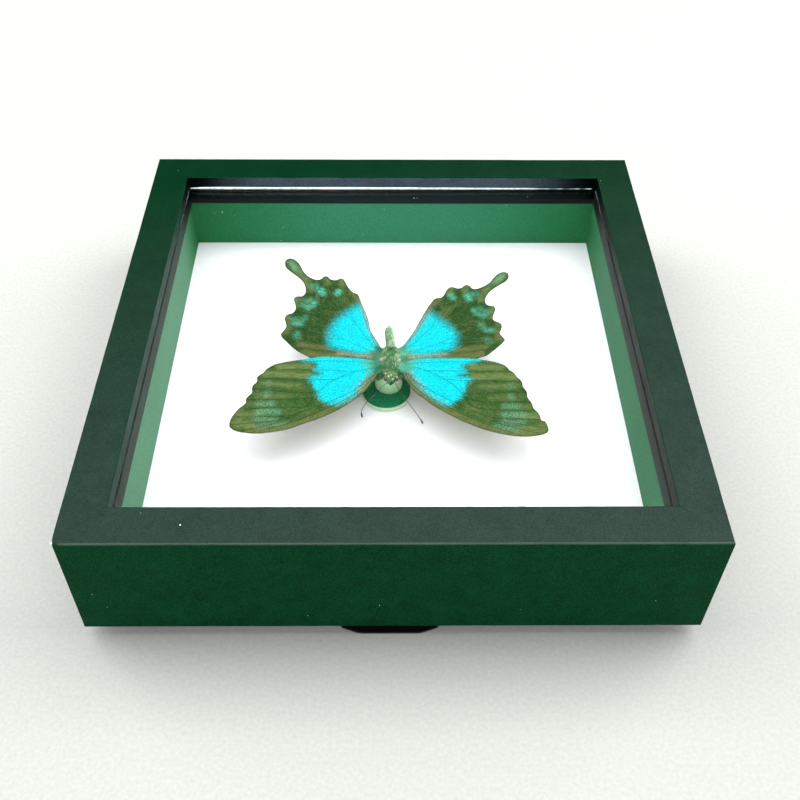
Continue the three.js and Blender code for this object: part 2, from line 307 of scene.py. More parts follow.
def satinLacquer(name="satinLacquerOnMdf", colours=None):
    # black lacquer sprayed on MDF: satin, with a fine orange peel that breaks up the highlight. Its dark
    # green colour is black paint with a painted green reflection in it.
    rough = rail["roughness"]
    material, tree, shader = newMaterial(
        name, {"Roughness": rough, "IOR": 1.5, "Specular IOR Level": 0.02, "Specular Tint": "#7affc8"},
    )
    spot = addNode(tree, "TexCoord").outputs["Object"]
    mottle = addNode(tree, "TexNoise", (spot, perMetre(rail["mottle"]), 6.0, 0.7))
    grain = addNode(tree, "TexNoise", (spot, perMetre(rail["grain"]), 2.0))
    both = addNode(tree, "Mix", (0.7, mottle, grain))
    tone = addNode(tree, "ValToRGB", (both,), stops=zip(twoTone, colours or rail["lacquerWithGreenReflection"]))
    if colours:
        # painted shade darkens the lip wall towards the two far inner corners
        corners = awayFromCorners(tree, spot, *rail["cornerShade"])
        tone = addNode(tree, "Mix", (corners, rail["lipCornerShade"], tone), data_type="RGBA")
    else:
        # a painted sheen greys the upward faces, more of it towards the near side, and the
        # upright faces get a greener painted reflection
        sheenTone = addNode(tree, "ValToRGB", (both,), stops=zip(twoTone, rail["dust"]))
        sideReflectionTone = addNode(tree, "ValToRGB", (both,), stops=zip(twoTone, rail["sides"]))
        place = addNode(tree, "SeparateXYZ", (spot,)).outputs
        normal = addNode(tree, "NewGeometry").outputs["Normal"]
        facing = addNode(tree, "SeparateXYZ", (normal,)).outputs["Z"]
        upward = addNode(tree, "MapRange", (facing, *rail["upward"]))
        lean = addNode(tree, "Math", (place["X"], rail["sheenLean"], place["Y"]), operation="MULTIPLY_ADD")
        near = addNode(tree, "MapRange", (lean, *rail["sheenFrom"]))
        sheenAmount = addNode(tree, "Math", (near, upward), operation="MULTIPLY")
        # a painted highlight lightens the near rail's front arris
        front = addNode(tree, "Math", (place["Z"], place["Y"]), operation="SUBTRACT")
        arrisHighlight = addNode(tree, "MapRange", (front, *rail["arrisHighlightFrom"], 0, rail["arrisHighlight"]))
        tone = addNode(tree, "Mix", (upward, sideReflectionTone, tone), data_type="RGBA")
        tone = addNode(tree, "Mix", (sheenAmount, tone, sheenTone), data_type="RGBA")
        tone = addNode(tree, "Mix", (arrisHighlight, tone, rail["arrisHighlightTone"]), data_type="RGBA")
    # The peel of real lacquer is finer than this, and would not show.
    peel = addNode(tree, "TexNoise", (spot, perMetre(rail["peel"]), 2.0))
    bump = addNode(tree, "Bump", {"Strength": 1.0, "Distance": rail["peelHeight"] * mm, "Height": peel})
    sheen = addNode(tree, "MapRange", (mottle, 0.3, 0.7, rough - 0.05, rough + 0.08))
    fill(tree, shader, {"Base Color": tone, "Normal": bump, "Roughness": sheen})
    return material


def buildRail(name, turn, seed, materials, node):
    half = rail["side"] / 2
    inner = -half + rail["face"]
    low, high = rail["back"], rail["back"] + rail["depth"]
    under = high - rail["lip"]
    piece = addBlock(name, (-half, -half, low), (half, inner, high))
    rabbet = addBlock("rabbet", (-half - 5, inner - rail["rabbet"], low - 5), (half + 5, inner + 5, under))
    cutAway(piece, rabbet)

    bpy.ops.object.mode_set(mode="EDIT")
    for side in (-1, 1):
        bpy.ops.mesh.select_all(action="SELECT")
        bpy.ops.mesh.bisect(
            plane_co=(side * (half - rail["mitreGap"]) * mm, -half * mm, 0), plane_no=(side, 1, 0),
            use_fill=True, clear_outer=True,
        )

    def isLong(a, b):
        return abs(a.x - b.x) > 20

    def isArris(a, b):
        if not isLong(a, b):
            return False
        y, z = a.y, a.z
        outer = abs(y + half) < 0.01
        return (outer or abs(y - inner) < 0.01) and (z > under - 0.01 or z < low + 0.01)

    selectEdges(piece, isArris)
    bpy.ops.mesh.bevel(offset=rail["ease"] * mm, segments=rail["easeSteps"], profile=0.5, affect="EDGES")
    selectEdges(piece, isLong)
    bpy.ops.mesh.subdivide(number_cuts=rail["cuts"])
    bpy.ops.mesh.select_all(action="SELECT")
    bpy.ops.mesh.normals_make_consistent(inside=False)
    bpy.ops.object.mode_set(mode="OBJECT")

    # Paint has built up in small nibs along the inner arris, and the faces are not quite flat.
    mesh = piece.data
    co = pointsOf(mesh) / mm
    ends = half - rail["face"] - np.abs(co[:, 0]) > 0
    nib = ripple(co[:, :1] / rail["nibSpacing"], seed) * ripple(co[:, :1] / 2.7, seed + 1)
    nearInner = (co[:, 1] > inner - 0.5) & (co[:, 2] > high - 0.6)
    co[:, 1] += np.where(nearInner & ends, np.abs(nib) * rail["nib"] * 1.6 - 0.03, 0)
    wave = ripple(co[:, :1] / rail["waveSpacing"], seed + 2) * rail["wave"]
    co[:, 1] += np.where((co[:, 1] < -half + 0.6) & ends, np.abs(wave), 0)
    co[:, 2] -= np.where((co[:, 2] > high - 0.6) & ends, np.abs(wave) * 0.6, 0)
    if name in rail["dented"]:
        # the near left corner has been knocked; both rails that meet there are dented alike
        corner = np.array([rail["dented"][name] * half, -half, high])
        away = np.linalg.norm((co - corner) * (1, 1, 0.7), axis=1)
        dent = np.clip(1 - away / rail["dentReach"], 0, 1)[:, None] ** 1.5
        co += dent * np.array(rail["dent"]) * (-rail["dented"][name], 1, 1)
    movePoints(mesh, co)

    piece.rotation_euler = (0, 0, turn)
    bpy.ops.object.transform_apply(location=False, rotation=True, scale=False)
    bpy.ops.object.shade_smooth_by_angle(angle=math.radians(35))
    weigh = piece.modifiers.new("flatFaces", "WEIGHTED_NORMAL")
    weigh.weight = 100
    weigh.keep_sharp = True
    applyAll(piece)
    giveMaterial(piece, *materials)
    inward = Vector((-math.sin(turn), math.cos(turn), 0))
    for face in piece.data.polygons:
        onLip = face.normal.dot(inward) > 0.9 and face.center.dot(inward) > (inner - 0.5) * mm
        face.material_index = int(onLip and face.center.z > under * mm)
    finishPiece(piece, "frame_paint", node)


lacquerWithGreenReflection = satinLacquer()
for count, (side, turn) in enumerate(zip(("near", "right", "far", "left"), (0, 90, 180, -90))):
    # each side's lip wall has its own painted light and shade: greyer where the lamps fall on it, darker
    # where it is shaded, with painted shade in the far corners
    litLipLacquer = satinLacquer(f"lipLacquerPaintedLight_{side}", rail["lipWallLitAndShaded"][side])
    buildRail(f"frameRail_{side}", math.radians(turn), 10 * count + 3, (lacquerWithGreenReflection, litLipLacquer), f"rail_{side}")
print("rails built")


# Sheets behind the rails keep their CAD shapes.

sheets = {
    "glassTint": "#e8fbf3", "glassCoat": "#4a4a4a", "glassDensity": 6.0, "glassIor": 1.5,
    # each side's first colour is a painted green reflection, lighter or darker with how the lamps fall on
    # that side; the second is the painted shade band at the top
    "liner": {
        "near": ("#4c8263", "#3f4a46"), "far": ("#2f7a59", "#0a1414"),
        "left": ("#5a896c", "#39443c"), "right": ("#3d7252", "#363a36"),
    },
    # painted shade: the corner colours darken the far corners, and the band near the top of the liner
    # darkens it under the lip
    "linerCornerShade": "#18703c", "shadeBandCorner": "#030807", "linerFade": ((2, 60), (2, 30)),
    "linerGrain": 0.8, "shadeBandHeight": 32.2, "shadeBandEdge": 0.15,
    "card": ("#f6f6fa", "#fbfbff"), "cardGrain": 0.35,
    "hardboard": ("#4d3420", "#7a5533"),
    "zinc": ("#9fa3a8", "#b9bcc0"), "blacked": ("#070808", "#0b0c0c"),
}


def floatGlass():
    # picture glass: clear float with a trace of green along its edge, coated so that it mirrors little
    material, tree, _ = newMaterial("coatedFloatGlass", {
        "Base Color": "#ffffff", "Roughness": 0.0, "IOR": sheets["glassIor"], "Transmission Weight": 1.0,
        "Specular Tint": sheets["glassCoat"],
    })
    haze = addNode(tree, "VolumeAbsorption", (sheets["glassTint"], sheets["glassDensity"]))
    fill(tree, tree.nodes["Material Output"], {"Volume": haze})
    return material


# Two colours mixed by noise on the object's own coordinates, with a little relief.
def mottled(name, colours, size, roughness, relief, values=None):
    material, tree, shader = newMaterial(name, {"Roughness": roughness, **(values or {})})
    spot = addNode(tree, "TexCoord").outputs["Object"]
    noise = addNode(tree, "TexNoise", (spot, perMetre(size), 5.0, 0.6))
    tone = addNode(tree, "ValToRGB", (noise,), stops=zip(twoTone, colours))
    bump = addNode(tree, "Bump", {"Strength": 0.8, "Distance": relief * mm, "Height": noise})
    fill(tree, shader, {"Base Color": tone, "Normal": bump})
    return material


def cardLiner(side):
    # coated card strips that line the box: matt and slightly uneven. Their green is a painted reflection,
    # lighter on the side the lamps fall on; painted shade makes them darker and greener towards the far
    # corners, with a dark band of painted shade round the top
    card, shadeBandTone = sheets["liner"][side]
    material = mottled(
        f"coatedCardLiner_{side}", (card, card), sheets["linerGrain"], 0.75, 0.01,
        {"Specular IOR Level": 0.1},
    )
    tree = material.node_tree
    spot = addNode(tree, "TexCoord").outputs["Object"]
    height = addNode(tree, "SeparateXYZ", (spot,)).outputs["Z"]
    top, soft = sheets["shadeBandHeight"] * mm, sheets["shadeBandEdge"] * mm
    # painted shade: a dark band at the top under the lip, and darker far corners
    inShadeBand = addNode(tree, "MapRange", (height, top - soft, top + soft))
    corners = awayFromCorners(tree, spot, *sheets["linerFade"][side != "far"])
    shadedCard = addNode(tree, "Mix", (corners, sheets["linerCornerShade"], card), data_type="RGBA")
    band = addNode(tree, "Mix", (corners, sheets["shadeBandCorner"], shadeBandTone), data_type="RGBA")
    tone = addNode(tree, "Mix", (inShadeBand, shadedCard, band), data_type="RGBA")
    cloudy = addNode(tree, "MapRange", (tree.nodes["Noise Texture"], 0.3, 0.7, 0.8, 1.14))
    uneven = addNode(tree, "Mix", (1.0, tone, cloudy), data_type="RGBA", blend_type="MULTIPLY")
    fill(tree, tree.nodes["Principled BSDF"], {"Base Color": uneven})
    return material


def dressSheets():
    nodes = frame["nodes"]
    giveMaterial(nodes["glass_pane"], floatGlass())
    # bright white mount card: smooth with a fine tooth
    card = mottled("whiteMountCard", sheets["card"], sheets["cardGrain"], 0.85, 0.004)
    # pressed wood fibre, brown and slightly shiny from the hot press
    board = mottled("hardboard", sheets["hardboard"], 1.5, 0.6, 0.03)
    # zinc plated sheet, cool grey with a soft brushed look
    zinc = mottled("zincPlatedSteel", sheets["zinc"], 0.6, 0.35, 0.004, {"Metallic": 1.0})
    # japanned steel strip: near black and fairly glossy
    black = mottled("japannedSteel", sheets["blacked"], 0.8, 0.35, 0.006)
    for name, node in nodes.items():
        if name.startswith("spacer"):
            giveMaterial(node, cardLiner(name.split("_")[1]))
        elif name.startswith(("framer_point", "hanger_nail")):
            giveMaterial(node, zinc)
    giveMaterial(nodes["mount_board"], card)
    giveMaterial(nodes["backing_board"], board)
    giveMaterial(nodes["sawtooth_hanger"], black)


dressSheets()
print("glass, liner and boards dressed")


# Pedestal under the insect

pedestal = {
    "foam": ("#b6e6ac", "#d0f6cb"), "padFoam": ("#c4e0ba", "#daf0d6"), "felt": ("#0f6a43", "#288a5c"),
    "rounds": {  # radius, low, high, middle, eased edge, seed, wobble
        "pad": (8.3, 13.6, 15.1, (-2.3, -6), 0.25, 4, 0.05),
        "disc": (8.15, 15.2, 15.7, (-2.3, -6), 0.12, 5, 0.04),
        "stub": (4.6, 15.8, 22.7, (-1.5, -3.8), 0.2, 6, 0.06),
    },
}


def roundPiece(name, radius, low, high, centre, ease, seed, wobble):
    bpy.ops.mesh.primitive_cylinder_add(
        vertices=120, radius=radius * mm, depth=(high - low) * mm,
        location=(centre[0] * mm, centre[1] * mm, (low + high) / 2 * mm),
    )
    piece = bpy.context.active_object
    piece.name = name
    bpy.ops.object.transform_apply(location=True, rotation=True, scale=True)
    bpy.ops.object.mode_set(mode="EDIT")
    selectEdges(piece, lambda a, b: abs(a.z - b.z) < 1e-3)
    bpy.ops.mesh.bevel(offset=ease * mm, segments=3, profile=0.5, affect="EDGES")
    bpy.ops.mesh.select_mode(type="FACE")
    bpy.ops.mesh.select_all(action="DESELECT")
    shape = bmesh.from_edit_mesh(piece.data)
    for face in shape.faces:
        if len(face.verts) > 20:
            face.select_set(True)
    bmesh.update_edit_mesh(piece.data)
    for share in (0.25, 0.4, 0.5):
        bpy.ops.mesh.inset(thickness=radius * share * 0.6 * mm, depth=0)
    bpy.ops.object.mode_set(mode="OBJECT")
    co = pointsOf(piece.data) / mm
    flat = co[:, :2] - centre
    reach = np.linalg.norm(flat, axis=1)
    spoke = flat / np.maximum(reach, 1e-6)[:, None]
    edge = np.clip((reach / radius - 0.8) * 5, 0, 1)
    push = (ripple(spoke * 3, seed) * 0.7 + ripple(spoke * 14, seed + 1) * 0.3) * wobble - wobble
    co[:, :2] = centre + flat * (1 + edge * push / radius)[:, None]
    movePoints(piece.data, co)
    bpy.ops.object.shade_smooth_by_angle(angle=math.radians(50))
    return piece


def buildPedestal():
    # closed-cell foam, pale and slightly waxy; dyed felt, matt with a soft nap
    waxy = {"Subsurface Weight": 0.15, "Subsurface Scale": 0.001}
    foam = mottled("paleCellFoam", pedestal["foam"], 0.5, 0.6, 0.02, waxy)
    padFoam = mottled("greyCellFoam", pedestal["padFoam"], 0.5, 0.6, 0.02, waxy)
    felt = mottled("dyedFelt", pedestal["felt"], 0.7, 0.95, 0.06, {"Specular IOR Level": 0.03})
    looks = {"pad": (padFoam, "pale_foam"), "disc": (felt, "dark_felt"), "stub": (foam, "pale_foam")}
    for name, (look, slotName) in looks.items():
        piece = roundPiece(f"pedestal{name.title()}", *pedestal["rounds"][name])
        giveMaterial(piece, look)
        finishPiece(piece, slotName, f"pedestal_{name}")


buildPedestal()
print("pedestal built")


# Wings. Positions are [out, along] in millimetres in each wing's own plane: out from the
# body's line, along the frame's Y. The planes rise outwards a little.

insect = {"axisX": -1.0, "axisZ": 26.1, "rise": math.radians(4)}
cosRise, sinRise = math.cos(insect["rise"]), math.sin(insect["rise"])


def fromWing(flat, lift, side):
    out, along = flat[:, 0], flat[:, 1]
    x = insect["axisX"] + side * (out * cosRise - lift * sinRise)
    z = insect["axisZ"] + out * sinRise + lift * cosRise
    return np.stack([x, along, z], 1) * mm


def toWing(points, side):
    reach = side * (points[:, 0] / mm - insect["axisX"])
    height = points[:, 2] / mm - insect["axisZ"]
    flat = np.stack([reach * cosRise + height * sinRise, points[:, 1] / mm], 1)
    return flat, height * cosRise - reach * sinRise


def smoothLine(points, spacing, closed=False):
    p = np.array(points, float)
    p = np.vstack([p[-1:], p, p[:2]]) if closed else np.vstack([2 * p[0] - p[1], p, 2 * p[-1] - p[-2]])
    line = []
    for a, b, c, d in zip(p, p[1:], p[2:], p[3:]):
        steps = max(1, round(np.linalg.norm(c - b) / spacing))
        t = np.arange(steps)[:, None] / steps
        bend, twist = 2 * a - 5 * b + 4 * c - d, 3 * b - a - 3 * c + d
        line.append((2 * b + (c - a) * t + bend * t ** 2 + twist * t ** 3) / 2)
    if not closed:
        line.append(p[-2:-1])
    return np.vstack(line)


def lineDistance(points, line):
    a, step = line[:-1], line[1:] - line[:-1]
    length = np.maximum((step ** 2).sum(1), 1e-12)
    away = np.full(len(points), 1e9)
    for start, move, size in zip(a, step, length):
        along = np.clip(((points - start) @ move) / size, 0, 1)
        gap = points - start - along[:, None] * move
        away = np.minimum(away, (gap ** 2).sum(1))
    return np.sqrt(away)


def isInside(points, loop):
    inside = np.zeros(len(points), bool)
    for (ax, ay), (bx, by) in zip(loop, np.roll(loop, -1, 0)):
        crosses = (ay > points[:, 1]) != (by > points[:, 1])
        if ay != by:
            inside ^= crosses & (points[:, 0] < (bx - ax) * (points[:, 1] - ay) / (by - ay) + ax)
    return inside


def loopDistance(points, loop):
    return lineDistance(points, np.vstack([loop, loop[:1]]))


def veinDistance(points, veins):
    return np.min([lineDistance(points, line) for line in veins], 0)


def depthInside(points, loop):
    away = loopDistance(points, loop)
    return np.where(isInside(points, loop), away, -away)


def fade(value, low, high):
    t = np.clip((value - low) / (high - low), 0, 1)
    return t * t * (3 - 2 * t)


# The strength of painted marks at points: each mark is a stroke [strength, radius, points...].
def strokes(points, marks, soft):
    best = np.zeros(len(points))
    for strength, radius, *route in marks:
        line = smoothLine(route, 0.5) if len(route) > 2 else np.array(route, float)
        away = lineDistance(points, line)
        best = np.maximum(best, strength * (1 - fade(away, radius - soft, radius + soft)))
    return best


# The CAD wing's outline, from the boundary of its upper face.
def cadOutline(node, side):
    mesh = frame["nodes"][node].data
    flat, lift = toWing(pointsOf(mesh), side)
    upper = lift > (lift.min() + lift.max()) / 2
    keys = [tuple(k) for k in np.round(flat, 2)]
    ways = set()
    for face in mesh.polygons:
        corners = list(face.vertices)
        if upper[corners].all():
            ways.update((keys[i], keys[j]) for i, j in zip(corners, corners[1:] + corners[:1]))
    after = {a: b for a, b in ways if (b, a) not in ways}
    loop = [next(iter(sorted(after)))]
    while after[loop[-1]] != loop[0]:
        loop.append(after[loop[-1]])
    return np.array(loop), (lift.min() + lift.max()) / 2


wingMesh = {
    "spacing": 0.42, "edgeSpacing": 0.32, "veinHalf": 0.13, "veinHeight": 0.09, "thickness": 0.16,
    "sag": 0.2, "sagReach": 1.6, "fringe": 0.05, "inset": 0.04, "wander": 0.12, "arch": 0.22,
    "root": (2, -3),
    "softness": {  # how softly each kind of mark ends
        "spots": 1.25, "tail": 1.1, "streaks": 1.2, "tan": 1.0, "olive": 1.3, "pale": 1.2, "dust": 0.9,
    },
}

wings = {
    "forewing_left": {
        "side": -1, "seed": 21, "shift": 0,
        "veins": [
            [(3.7, -5.2), (10, -4.2), (18, -4.3), (28, -5.4), (37.2, -7.4)],
            [(4.2, -6.2), (8, -7.4), (12, -9), (15, -10.8), (18, -13), (20.5, -15.4), (23.5, -18.6),
             (30, -19.6), (37, -19.2), (44, -18.6)],
            [(12, -9), (18, -8.9), (26, -9.2), (34, -9.5), (40.3, -10.2)],
            [(18, -13), (24, -13.4), (32, -13.9), (42.8, -13.9)],
            [(23.5, -18.6), (24.6, -21.5), (26.5, -25.6)],
            [(24.6, -21.5), (31, -22.8), (38, -23), (45.4, -23.4)],
            [(26.5, -25.6), (32, -26.4), (39, -26.6), (47.1, -27.5)],
            [(4.4, -7.8), (8, -13.2), (13, -18.4), (19, -22.6), (26.5, -26.9), (33, -29.8), (40, -30.5),
             (48.8, -31)],
            [(29, -28.4), (35, -31.8), (42, -33.1), (49.2, -34.3)],
            [(26.5, -26.9), (33, -31.6), (40, -34.8), (46.2, -36.7)],
            [(4.5, -8.6), (8, -14.9), (13, -20.3), (19, -25), (26, -29.6), (33, -33.4), (38, -35.6)],
        ],
        "blue": [
            (4, -1), (29.6, -2.5), (29.6, -4.7), (25.2, -5.3), (24, -6.5), (24, -8), (25.2, -9.2),
            (22.6, -10.5), (26.2, -12.5), (24.6, -16), (23.4, -19), (22.6, -21), (20.5, -23.3),
            (17.2, -23.9), (14.5, -22.3), (12, -20), (10.3, -17.2), (8.6, -13.6), (7, -10.4),
            (5.6, -8.4), (4, -6.6),
        ],
        "pale": [(0.4, 0.4, (5.2, -10.2), (7.6, -14.2), (9.8, -17.2))],
        "streaks": [
            (0.45, 0.7, (39, -15.6), (39.4, -16.8)), (0.6, 1.0, (39, -19.9), (39.6, -21.2)),
            (0.75, 1.25, (37.4, -24.8), (41, -25)), (0.85, 1.3, (35.6, -28.2), (41, -28.4)),
            (0.75, 1.1, (36, -31.6), (41.5, -31.8)), (0.6, 1.1, (33, -32.9), (40.5, -34.4)),
        ],
        "tan": [
            (0.75, 1.5, (8, -16.8), (13, -22), (19, -26.9), (27, -31.8), (35, -35.6), (43, -36.6)),
            (0.5, 1.0, (46.5, -35.6), (48.3, -32.5), (46.8, -28.5)),
        ],
        "olive": [
            (1.0, 1.4, (27, -7.2), (36, -8.2)), (0.95, 1.5, (27, -11.6), (40, -11.8)),
            (0.8, 1.0, (30, -16.2), (41, -16)), (0.55, 0.9, (32, -21), (43, -21.3)),
            (0.9, 1.6, (42.6, -34.6), (47.4, -33)), (0.7, 1.5, (42, -29.5), (46, -30)),
            (0.45, 1.1, (43, -25.2), (44.6, -25.4)), (0.35, 1.0, (24, -26.5), (31, -29.5)),
        ],
        "dust": [
            (0.9, 1.3, (5.5, -8.4), (8, -12.2), (10.6, -16.2)), (0.5, 0.7, (10.6, -16.4), (14, -20.6),
            (17.6, -23.6)),
        ],
    },
    "forewing_right": {
        "side": 1, "seed": 22, "shift": 0,
        "veins": [
            [(3.7, -5.2), (10, -4.6), (18, -4.7), (28, -5.6), (37, -7.6)],
            [(4.2, -6), (8, -6.6), (12, -8.5), (15, -10.7), (18, -13), (20.5, -15.5), (23.5, -19.4),
             (30, -20), (37, -19.8), (43.4, -20.2)],
            [(12, -8.5), (18, -9), (26, -9.8), (34, -10.4), (40, -11.2)],
            [(18, -13), (24, -13.9), (32, -14.5), (42.2, -15)],
            [(23.5, -19.4), (24.4, -22), (26, -25.5)],
            [(24.4, -22), (31, -23.8), (38, -24.3), (44.4, -24.6)],
            [(26, -25.5), (32, -27.2), (39, -27.9), (45.8, -28.8)],
            [(4.4, -7.4), (8, -12.6), (13, -17.4), (19, -22.2), (26, -27), (33, -30.6), (40, -31.6),
             (46.6, -32.2)],
            [(28.5, -28.5), (35, -32.4), (42, -34.2), (48.4, -35.6)],
            [(26, -27), (33, -32.4), (40, -35.8), (46.2, -37.8)],
            [(4.4, -8.4), (8, -15.6), (13, -20.8), (19, -25.6), (26, -30.6), (33, -34.8), (38, -37)],
        ],
        "blue": [
            (4, -1), (30.4, -3), (30.4, -4.6), (24.4, -6.5), (23.8, -8), (25.2, -10), (22, -11.3),
            (25.6, -12.5), (26.2, -13.6), (24.2, -16), (23.6, -19), (22.6, -21), (20.6, -23.2),
            (18.5, -24.4), (16, -23.2), (13, -20.2), (10.4, -17), (8.4, -13.6), (6.8, -10.4), (5.4, -8),
            (4, -6.4),
        ],
        "pale": [(0.3, 0.4, (5.2, -10.6), (7.6, -14.8), (9.8, -17.8))],
        "streaks": [
            (0.5, 0.7, (38.5, -16.6), (38.6, -18)), (0.6, 1.0, (38.6, -21.4), (38.8, -22.6)),
            (0.75, 1.3, (36.6, -26), (39.8, -26.2)), (0.85, 1.3, (36, -29.4), (41, -29.9)),
            (0.75, 1.1, (35.4, -32.4), (41, -33.1)), (0.65, 1.2, (33, -34), (38.6, -35.6)),
            (0.5, 0.5, (43.6, -30.4), (44.8, -30.8)),
        ],
        "tan": [
            (0.75, 1.5, (8, -17.2), (13, -22.4), (19, -27.4), (27, -33), (35, -36.8), (43, -37.8)),
            (0.5, 1.0, (46.4, -37), (47.6, -34.6), (45.6, -30)),
        ],
        "olive": [
            (1.0, 1.4, (27, -7.8), (36, -8.6)), (0.95, 1.5, (27.5, -12.4), (39.5, -12.8)),
            (0.7, 0.9, (29, -16.8), (40.5, -17)), (0.45, 0.9, (32, -22), (42, -22.4)),
            (0.9, 1.6, (41, -36.2), (46.4, -35.8)), (0.7, 1.5, (42, -30.4), (45, -30.6)),
            (0.5, 0.9, (24, -25), (31, -31)), (0.35, 1.1, (41.6, -26), (43.4, -26.4)),
        ],
        "dust": [
            (0.9, 1.3, (5.5, -8.2), (8, -12), (10.6, -15.8)), (0.5, 0.7, (10.6, -16.2), (14, -20.8),
            (18.4, -23.8)),
        ],
    },
    "hindwing_left": {
        "side": -1, "seed": 23, "shift": 0.95,
        "veins": [
            [(4.5, -0.6), (12, -0.6), (20, 0), (27, 0.5), (33.2, 1.9)],
            [(4.8, 0.8), (10, 3), (15, 5.8), (19.6, 9), (21.2, 13), (20.6, 17.6), (18, 20.6)],
            [(15, 5.8), (22, 6.4), (30, 6.7), (36.8, 7)],
            [(20.8, 12), (28, 13.6), (36.1, 15.2)],
            [(21.1, 15.6), (27, 20.8), (33.5, 26.2)],
            [(4.4, 1.6), (8.5, 8.5), (12.5, 15), (18, 20.6), (24.6, 27.6), (29.3, 34.2), (32.2, 39.4),
             (36, 45.6)],
            [(16.4, 19.2), (19.6, 26), (21.9, 32), (23.2, 38.6)],
            [(12.5, 15), (14.9, 22), (16.3, 30), (17.3, 37.8)],
            [(4.1, 2.6), (6.6, 9), (8.7, 16), (10.2, 24), (11.7, 30)],
        ],
        "blue": [
            (3, 0.2), (8, -0.6), (14, 0.8), (19.4, 2.2), (20.8, 6), (20.6, 10), (19.2, 14), (16.8, 18),
            (13.4, 22), (10.6, 24.4), (8.6, 20), (6, 12), (3.6, 6),
        ],
        "spots": [
            (1.0, 1.45, (24.2, 29.6), (24.5, 30.8)), (0.5, 1.4, (25.4, 31.6), (27, 33.2)),
            (0.95, 1.0, (18.7, 29.8), (18.3, 31.2)), (1.0, 1.0, (26.4, 24), (27.4, 22.4), (28.6, 21.6)),
            (0.5, 1.2, (28.6, 22), (30.2, 22.6)), (0.45, 1.2, (27, 25.4), (29.4, 24.6)),
            (0.5, 0.95, (29.2, 16.4), (30.2, 14)), (0.85, 1.0, (30.8, 13), (32.6, 13.2)),
            (0.4, 1.1, (31.6, 15.4), (33.4, 15)), (0.6, 0.95, (31.6, 8.2), (31.4, 6.2)),
        ],
        "tail": [(0.85, 0.9, (34.4, 42.4), (36, 45.4)), (0.35, 0.6, (31.6, 38.6), (33.6, 41.4))],
        "tan": [
            (0.9, 1.5, (17, -1.8), (23, -2.2), (28.5, -1)), (0.35, 1.0, (7, 1.5), (10, 0.2)),
            (0.8, 1.2, (21, 1.4), (30, 2.6)), (0.5, 0.7, (28.2, 24.4), (28.6, 25.6)),
        ],
        "pale": [
            (0.55, 0.7, (6.5, -1.4), (12, -1.1), (17, -0.5)), (0.3, 0.8, (10.6, 27), (8.4, 19.4),
            (6.6, 11)),
        ],
        "olive": [
            (0.7, 1.0, (36, 7.5), (34.8, 11), (35.4, 16)), (0.7, 1.1, (32.6, 22), (33, 26)),
            (0.8, 1.3, (28, 31), (30.6, 37)), (0.7, 1.2, (22.4, 35), (23, 37.5)), (0.7, 1.2, (17, 34.5),
            (17.3, 37)), (0.6, 1.0, (12, 28), (13.8, 31.6)), (0.7, 1.6, (33.2, 40.6), (36.4, 46)),
            (0.35, 1.0, (12.6, 25), (17, 27)),
        ],
        "dust": [(0.65, 1.0, (10.6, 29), (9.4, 24), (7.9, 16), (5.9, 9), (3.8, 3.6))],
    },
    "hindwing_right": {
        "side": 1, "seed": 24, "shift": 0.95,
        "veins": [
            [(4.5, -1), (13, -1.6), (22, -1.9), (29, -1.5), (33.6, -0.8)],
            [(4.8, 0.5), (10.5, 2), (16, 4), (20.6, 6.6), (22.6, 10), (22.4, 13.4), (20.6, 16.4)],
            [(16, 4), (24, 3.9), (32, 4), (38.4, 4.4)],
            [(22.4, 9.2), (30, 10), (38, 11.3)],
            [(22.4, 12.4), (29, 16.8), (36.3, 20.5)],
            [(4.5, 1.4), (9.5, 6.5), (14, 12), (20.6, 16.4), (27, 21.8), (31.8, 27.3), (35.6, 32.1),
             (41, 38)],
            [(18, 14.9), (22, 21.2), (25.2, 27.4), (27.3, 33.5)],
            [(14, 12), (17.6, 19), (20.2, 26), (21.8, 32.8)],
            [(4.2, 2.4), (7.6, 8), (11.2, 15), (13.6, 21), (15.6, 27.1)],
        ],
        "blue": [
            (3, 0), (9, -1), (16, -0.2), (21.2, 2), (22.4, 6), (21.8, 10), (19.4, 13.4), (16.6, 16.8),
            (13.8, 19.6), (11, 16), (7.4, 9.6), (3.6, 4.4),
        ],
        "spots": [
            (0.8, 1.0, (21.4, 28.4), (22.2, 26.8)), (0.95, 1.15, (27.2, 28), (27.9, 26)),
            (0.45, 1.2, (28.8, 29), (30.6, 28)), (0.75, 0.85, (29.2, 20.4), (30.2, 18.2), (31.8, 17.2)),
            (0.7, 1.1, (32.2, 17), (33.4, 18.4)), (0.45, 1.1, (31, 20.6), (33, 19.8)),
            (0.55, 0.95, (31.2, 12.6), (32.2, 10.4)), (0.75, 0.95, (32.8, 9.4), (34.4, 9.6)),
            (0.5, 0.95, (32.8, 5), (33.2, 3.8)),
        ],
        "tail": [(0.8, 0.9, (38.6, 35.6), (40.4, 37.8)), (0.3, 0.6, (35.6, 32.2), (37.6, 34.4))],
        "tan": [
            (0.9, 1.5, (17, -2.2), (24, -2.6), (30, -2)), (0.8, 1.1, (22, 0.6), (32, 1.4)),
            (0.4, 0.9, (17.6, 16.8), (20, 20)), (0.5, 0.8, (35, 3.4), (36.6, 5.4)),
        ],
        "pale": [
            (0.55, 0.7, (6.5, -1.8), (13, -1.6), (18, -1.2)), (0.3, 0.8, (14, 22), (10.6, 15),
            (7, 8.4)),
        ],
        "olive": [
            (0.7, 1.0, (37.4, 4.6), (36.6, 8), (37.2, 12)), (0.7, 1.1, (35, 16), (35.8, 20.8)),
            (0.8, 1.3, (32, 25.6), (34.4, 31)), (0.7, 1.2, (26.6, 30.4), (27.2, 33)),
            (0.7, 1.2, (21, 29.4), (21.8, 32)), (0.6, 1.0, (15, 24), (17.4, 27)),
